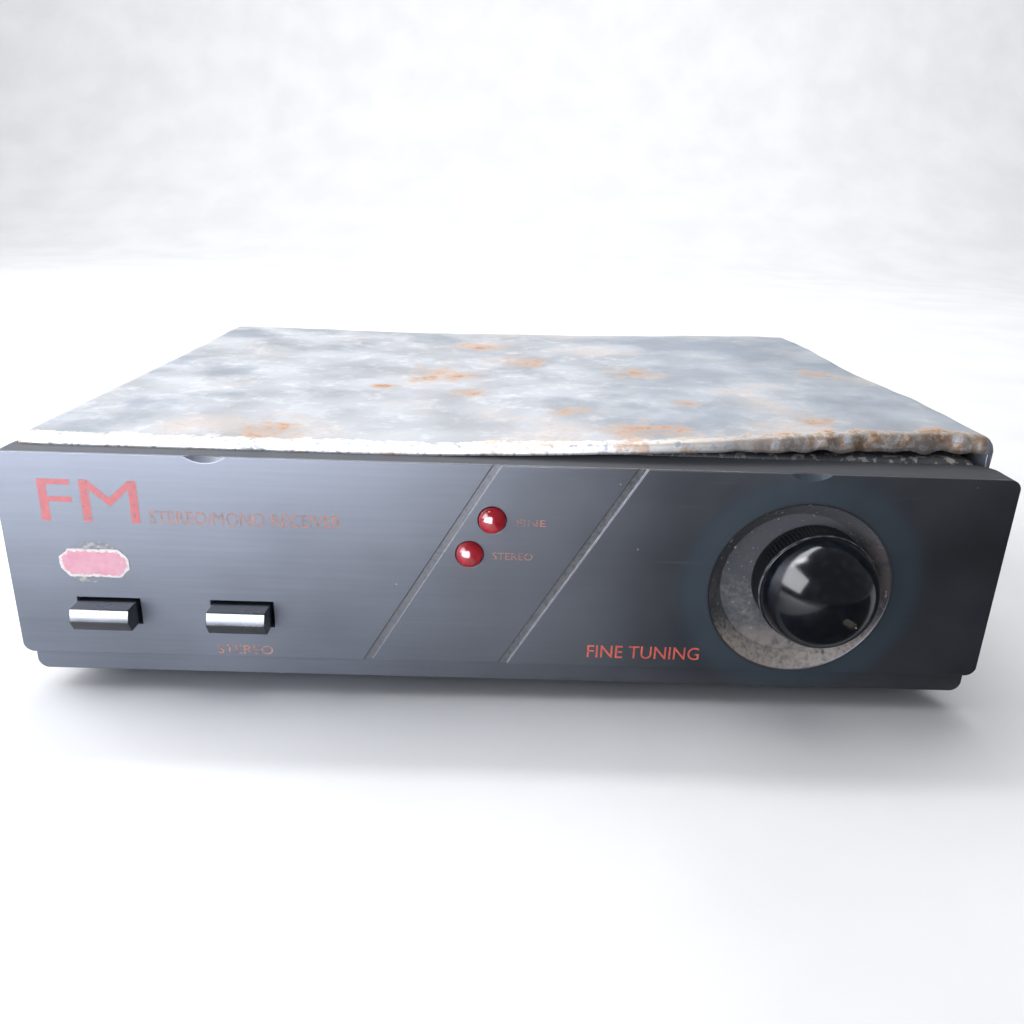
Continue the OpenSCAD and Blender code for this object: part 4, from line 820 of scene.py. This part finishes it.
# %% Paper label
low, high = (np.array(v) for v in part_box("panel_sticker"))
half_w, half_h = (high[0] - low[0]) / 2, (high[2] - low[2]) / 2
turn = np.linspace(0, 2 * np.pi, 240, endpoint=False)
cut = half_w + half_h - 1.7 * mm
c, s = np.cos(turn), np.sin(turn)
c_size, s_size = np.abs(c), np.abs(s)
reach = 1 / np.maximum.reduce([c_size / half_w, s_size / half_h, (c_size + s_size) / cut])
large_bites = 0.16 * mm * np.clip(waves(turn * 8, turn * 0, 4.0, 21), 0, 1)
small_bites = 0.1 * mm * np.clip(waves(turn * 8, turn * 0, 1.2, 22), 0, 1)
reach = reach - (large_bites + small_bites)
rings = np.linspace(1, 0, 14)
x = (low[0] + high[0]) / 2 + rings[:, None] * reach * c
z = (low[2] + high[2]) / 2 + rings[:, None] * reach * s
side, rise = np.abs(rings[:, None] * reach * c), np.abs(rings[:, None] * reach * s)
inset = np.minimum.reduce([half_w - side, half_h - rise, (cut - side - rise) / np.sqrt(2)]) / mm
outside = np.stack([x, np.full_like(x, low[1]), z], axis=-1)
behind = np.stack([x[:1], np.full_like(x[:1], high[1]), z[:1]], axis=-1)
label_mesh = surface("torn_label", np.concatenate([behind, outside]), around=True,
                     to_edge=np.concatenate([inset[:1], inset]))
piece(label_mesh, "red_paper_label", "case", "panel_sticker")
print("label", round(2 * half_w / mm, 1), "by", round(2 * half_h / mm, 1), "mm")

# %% [markdown]
# The print on the panel is only plain words for what each control does, set in Blender's built-in
# font. Each is made as a filled text curve, turned into a mesh, and only then laid on the face: the
# text's x becomes X, its y becomes Z, and its height stands out of the panel by 0.02 mm.

# %% Print on the panel
def legend(name, words, left, drop, width, height, ink):
    """Words whose box starts at X = left and reaches down to `drop` below the panel's top, in mm,
    scaled to width and height."""
    curve = bpy.data.curves.new(name, "FONT")
    curve.body = words
    curve.resolution_u = 3
    writer = bpy.data.objects.new(name, curve)
    scene.collection.objects.link(writer)
    filled = writer.evaluated_get(bpy.context.evaluated_depsgraph_get())
    mesh = bpy.data.meshes.new_from_object(filled)
    bpy.data.objects.remove(writer)
    flat = np.empty(3 * len(mesh.vertices))
    mesh.vertices.foreach_get("co", flat)
    flat = flat.reshape(-1, 3)[:, :2]
    flat = (flat - flat.min(0)) / (flat.max(0) - flat.min(0)) * (width * mm, height * mm)
    x = left * mm + flat[:, 0]
    z = panel_top - drop * mm + flat[:, 1]
    y = np.full_like(x, face_y - 0.02 * mm)
    mesh.vertices.foreach_set("co", np.column_stack([x, y, z]).ravel())
    mesh.name = name
    mesh.update()
    piece(mesh, ink, "case")


legend("band_mark", "FM", -83.8, 12.9, 17.6, 8.0, "faded_pink_ink")
legend("kind_line", "STEREO/MONO RECEIVER", -64.5, 12.9, 34.5, 2.5, "faded_tan_ink")
legend("stereo_button_mark", "STEREO", -54.5, 39.2, 10.5, 1.9, "faded_tan_ink")
legend("upper_lamp_mark", "FINE", 1.6, 11.4, 5.4, 1.3, "faded_tan_ink")
legend("lower_lamp_mark", "STEREO", -2.6, 18.1, 7.4, 1.4, "faded_tan_ink")
legend("tuning_mark", "FINE TUNING", 16.0, 38.0, 21.5, 2.7, "orange_ink")
print("six legends printed")

# %% [markdown]
# Above and below the label, thin crescents of old glue show where a larger oval sticker was. Each
# is a strip between two arcs that meet at its ends.

# %% Traces of old glue
def crescent(name, middle, size, start, end, wide):
    """A strip along an ellipse of half-axes `size` round middle (x, z), all in mm, from angle start
    to end in degrees from +X towards +Z; its width is wide * sin(pi t), with a slow wobble."""
    t = np.linspace(0, 1, 90)
    angle = np.radians(start + (end - start) * t)
    body = wide * np.sin(np.pi * t) * (1 + 0.35 * waves(10 * t, 0 * t, 2.0, 31)) + 0.02
    across = np.linspace(-0.5, 0.5, 4)[:, None] * body
    x = (middle[0] + (size[0] + across) * np.cos(angle)) * mm
    z = panel_top + (middle[1] + (size[1] + across) * np.sin(angle)) * mm
    y = np.full_like(x, face_y - 0.015 * mm)
    piece(surface(name, np.stack([x, y, z], axis=-1)), "old_glue", "case")


label_middle = (low[0] + high[0]) / 2 / mm, (low[2] + high[2] - 2 * panel_top) / 2 / mm
crescent("glue_above", (label_middle[0] + 0.6, label_middle[1]), (5.0, 3.7), 12, 172, 1.1)
crescent("glue_below", (label_middle[0] - 1.2, label_middle[1]), (4.4, 3.5), 195, 325, 0.9)
print("glue traces round", [round(v, 1) for v in label_middle])

# %% [markdown]
# The floor and the wall behind it are one sheet of pale card, bent up in a wide curve so that no
# edge shows. It is not part of the object.

# %% Floor and backdrop
sweep = np.radians(np.linspace(0, 90, 24))
run = np.concatenate([[-3.0], 0.9 + 0.5 * np.sin(sweep), [1.4]])
rise = np.concatenate([[0.0], 0.5 - 0.5 * np.cos(sweep), [3.0]])
sideways = np.array([-3.0, 0.0, 3.0])[None, :]
card = np.stack(np.broadcast_arrays(sideways, run[:, None], rise[:, None]), axis=-1)
backdrop_mesh = surface("pale_card", card)
backdrop = bpy.data.objects.new("pale_card", backdrop_mesh)
scene.collection.objects.link(backdrop)
pale = two_tones("matt_card", "#d3d3d1", "#dadad8", 60.0, (0.8, 0.9), 0.6, 0.01)
backdrop_mesh.materials.append(pale.material)
print("card", card.shape[:2])

# %% [markdown]
# Light comes from the left, as from a window. A black satin panel shows mostly what it mirrors, so
# what stands in front of it matters as much as the lamps: a wide soft lamp low at the front left
# gives its left half a pale sheen, and a dark card on the floor at the front right, which only
# glossy reflections see, keeps its right half black. Three lamps high on the left make the shape of
# a window in the dome. These lamps only shine: the soft light on the cover, the print and the floor
# comes from a wide lamp on the left and one overhead.

# %% Lamps and a dark card
def lamp(name, middle, aim, size, watts, glossy=True, diffuse=True):
    """A rectangular area lamp at middle that looks at aim, both in metres, unseen by the camera. It
    can be kept out of the glossy or the diffuse light."""
    data = bpy.data.lights.new(name, "AREA")
    data.shape, data.size, data.size_y, data.energy = "RECTANGLE", *size, watts
    data.color = linear("#f9faff")[:3]
    made = bpy.data.objects.new(name, data)
    made.location = middle
    away = np.array(middle) - np.array(aim)
    tilt = np.arctan2(np.hypot(away[0], away[1]), away[2])
    made.rotation_euler = (tilt, 0, np.arctan2(away[0], -away[1]))
    made.visible_camera, made.visible_glossy, made.visible_diffuse = False, glossy, diffuse
    scene.collection.objects.link(made)
    return made


knob_middle = (knob_x, face_y - 3 * mm, knob_z)
low_left = lamp("front_left", (-0.24, -0.27, 0.1), (-0.24, 0.0, 0.1), (0.46, 0.19), 11.2,
                diffuse=False)
low_left.data.color = linear("#e4ebff")[:3]
lamp("window_low", (-0.342, -0.115, 0.229), knob_middle, (0.58, 0.28), 5.2, diffuse=False)
lamp("window_high", (-0.07, 0.14, 0.40), knob_middle, (0.46, 0.2), 3.2, diffuse=False)
lamp("window_bar", (-0.206, 0.003, 0.385), knob_middle, (0.08, 0.22), 0.6, diffuse=False)
lamp("left_fill", (-0.6, 0.05, 0.4), (0, 0, 0), (0.5, 0.5), 5.5, glossy=False)
lamp("top_soft", (0.0, 0.1, 0.9), (0, 0, 0), (0.8, 0.8), 4.0, glossy=False)
lamp("wall_wash", (0.0, 0.55, 1.3), (0.0, 1.4, 0.25), (2.0, 0.3), 24.0, glossy=False)

dark = two_tones("dark_card", "#15171a", "#1a1c20", 30.0, (0.9, 0.95), 0.6, 0.01)
far_edge = [(0.09, -0.60, 0.002), (0.50, -0.60, 0.002)]
near_edge = [(0.02, -0.07, 0.002), (0.50, -0.07, 0.002)]
corners = np.array([far_edge, near_edge])
shade = bpy.data.objects.new("dark_card", surface("dark_card", corners))
scene.collection.objects.link(shade)
shade.data.materials.append(dark.material)
shade.visible_camera = shade.visible_diffuse = shade.visible_shadow = False

kept_out = bpy.data.collections.new("not_lit_by_front_left")
kept_out.objects.link(bpy.data.objects["domed_knob"])
low_left.light_linking.receiver_collection = kept_out
kept_out.collection_objects[0].light_linking.link_state = "EXCLUDE"

world = bpy.data.worlds.new("studio")
scene.world = world
world.use_nodes = True
world.node_tree.nodes["Background"].inputs["Color"].default_value = linear("#d6dbe2")
world.node_tree.nodes["Background"].inputs["Strength"].default_value = 0.35
print("seven lamps, a dark card and a pale world")
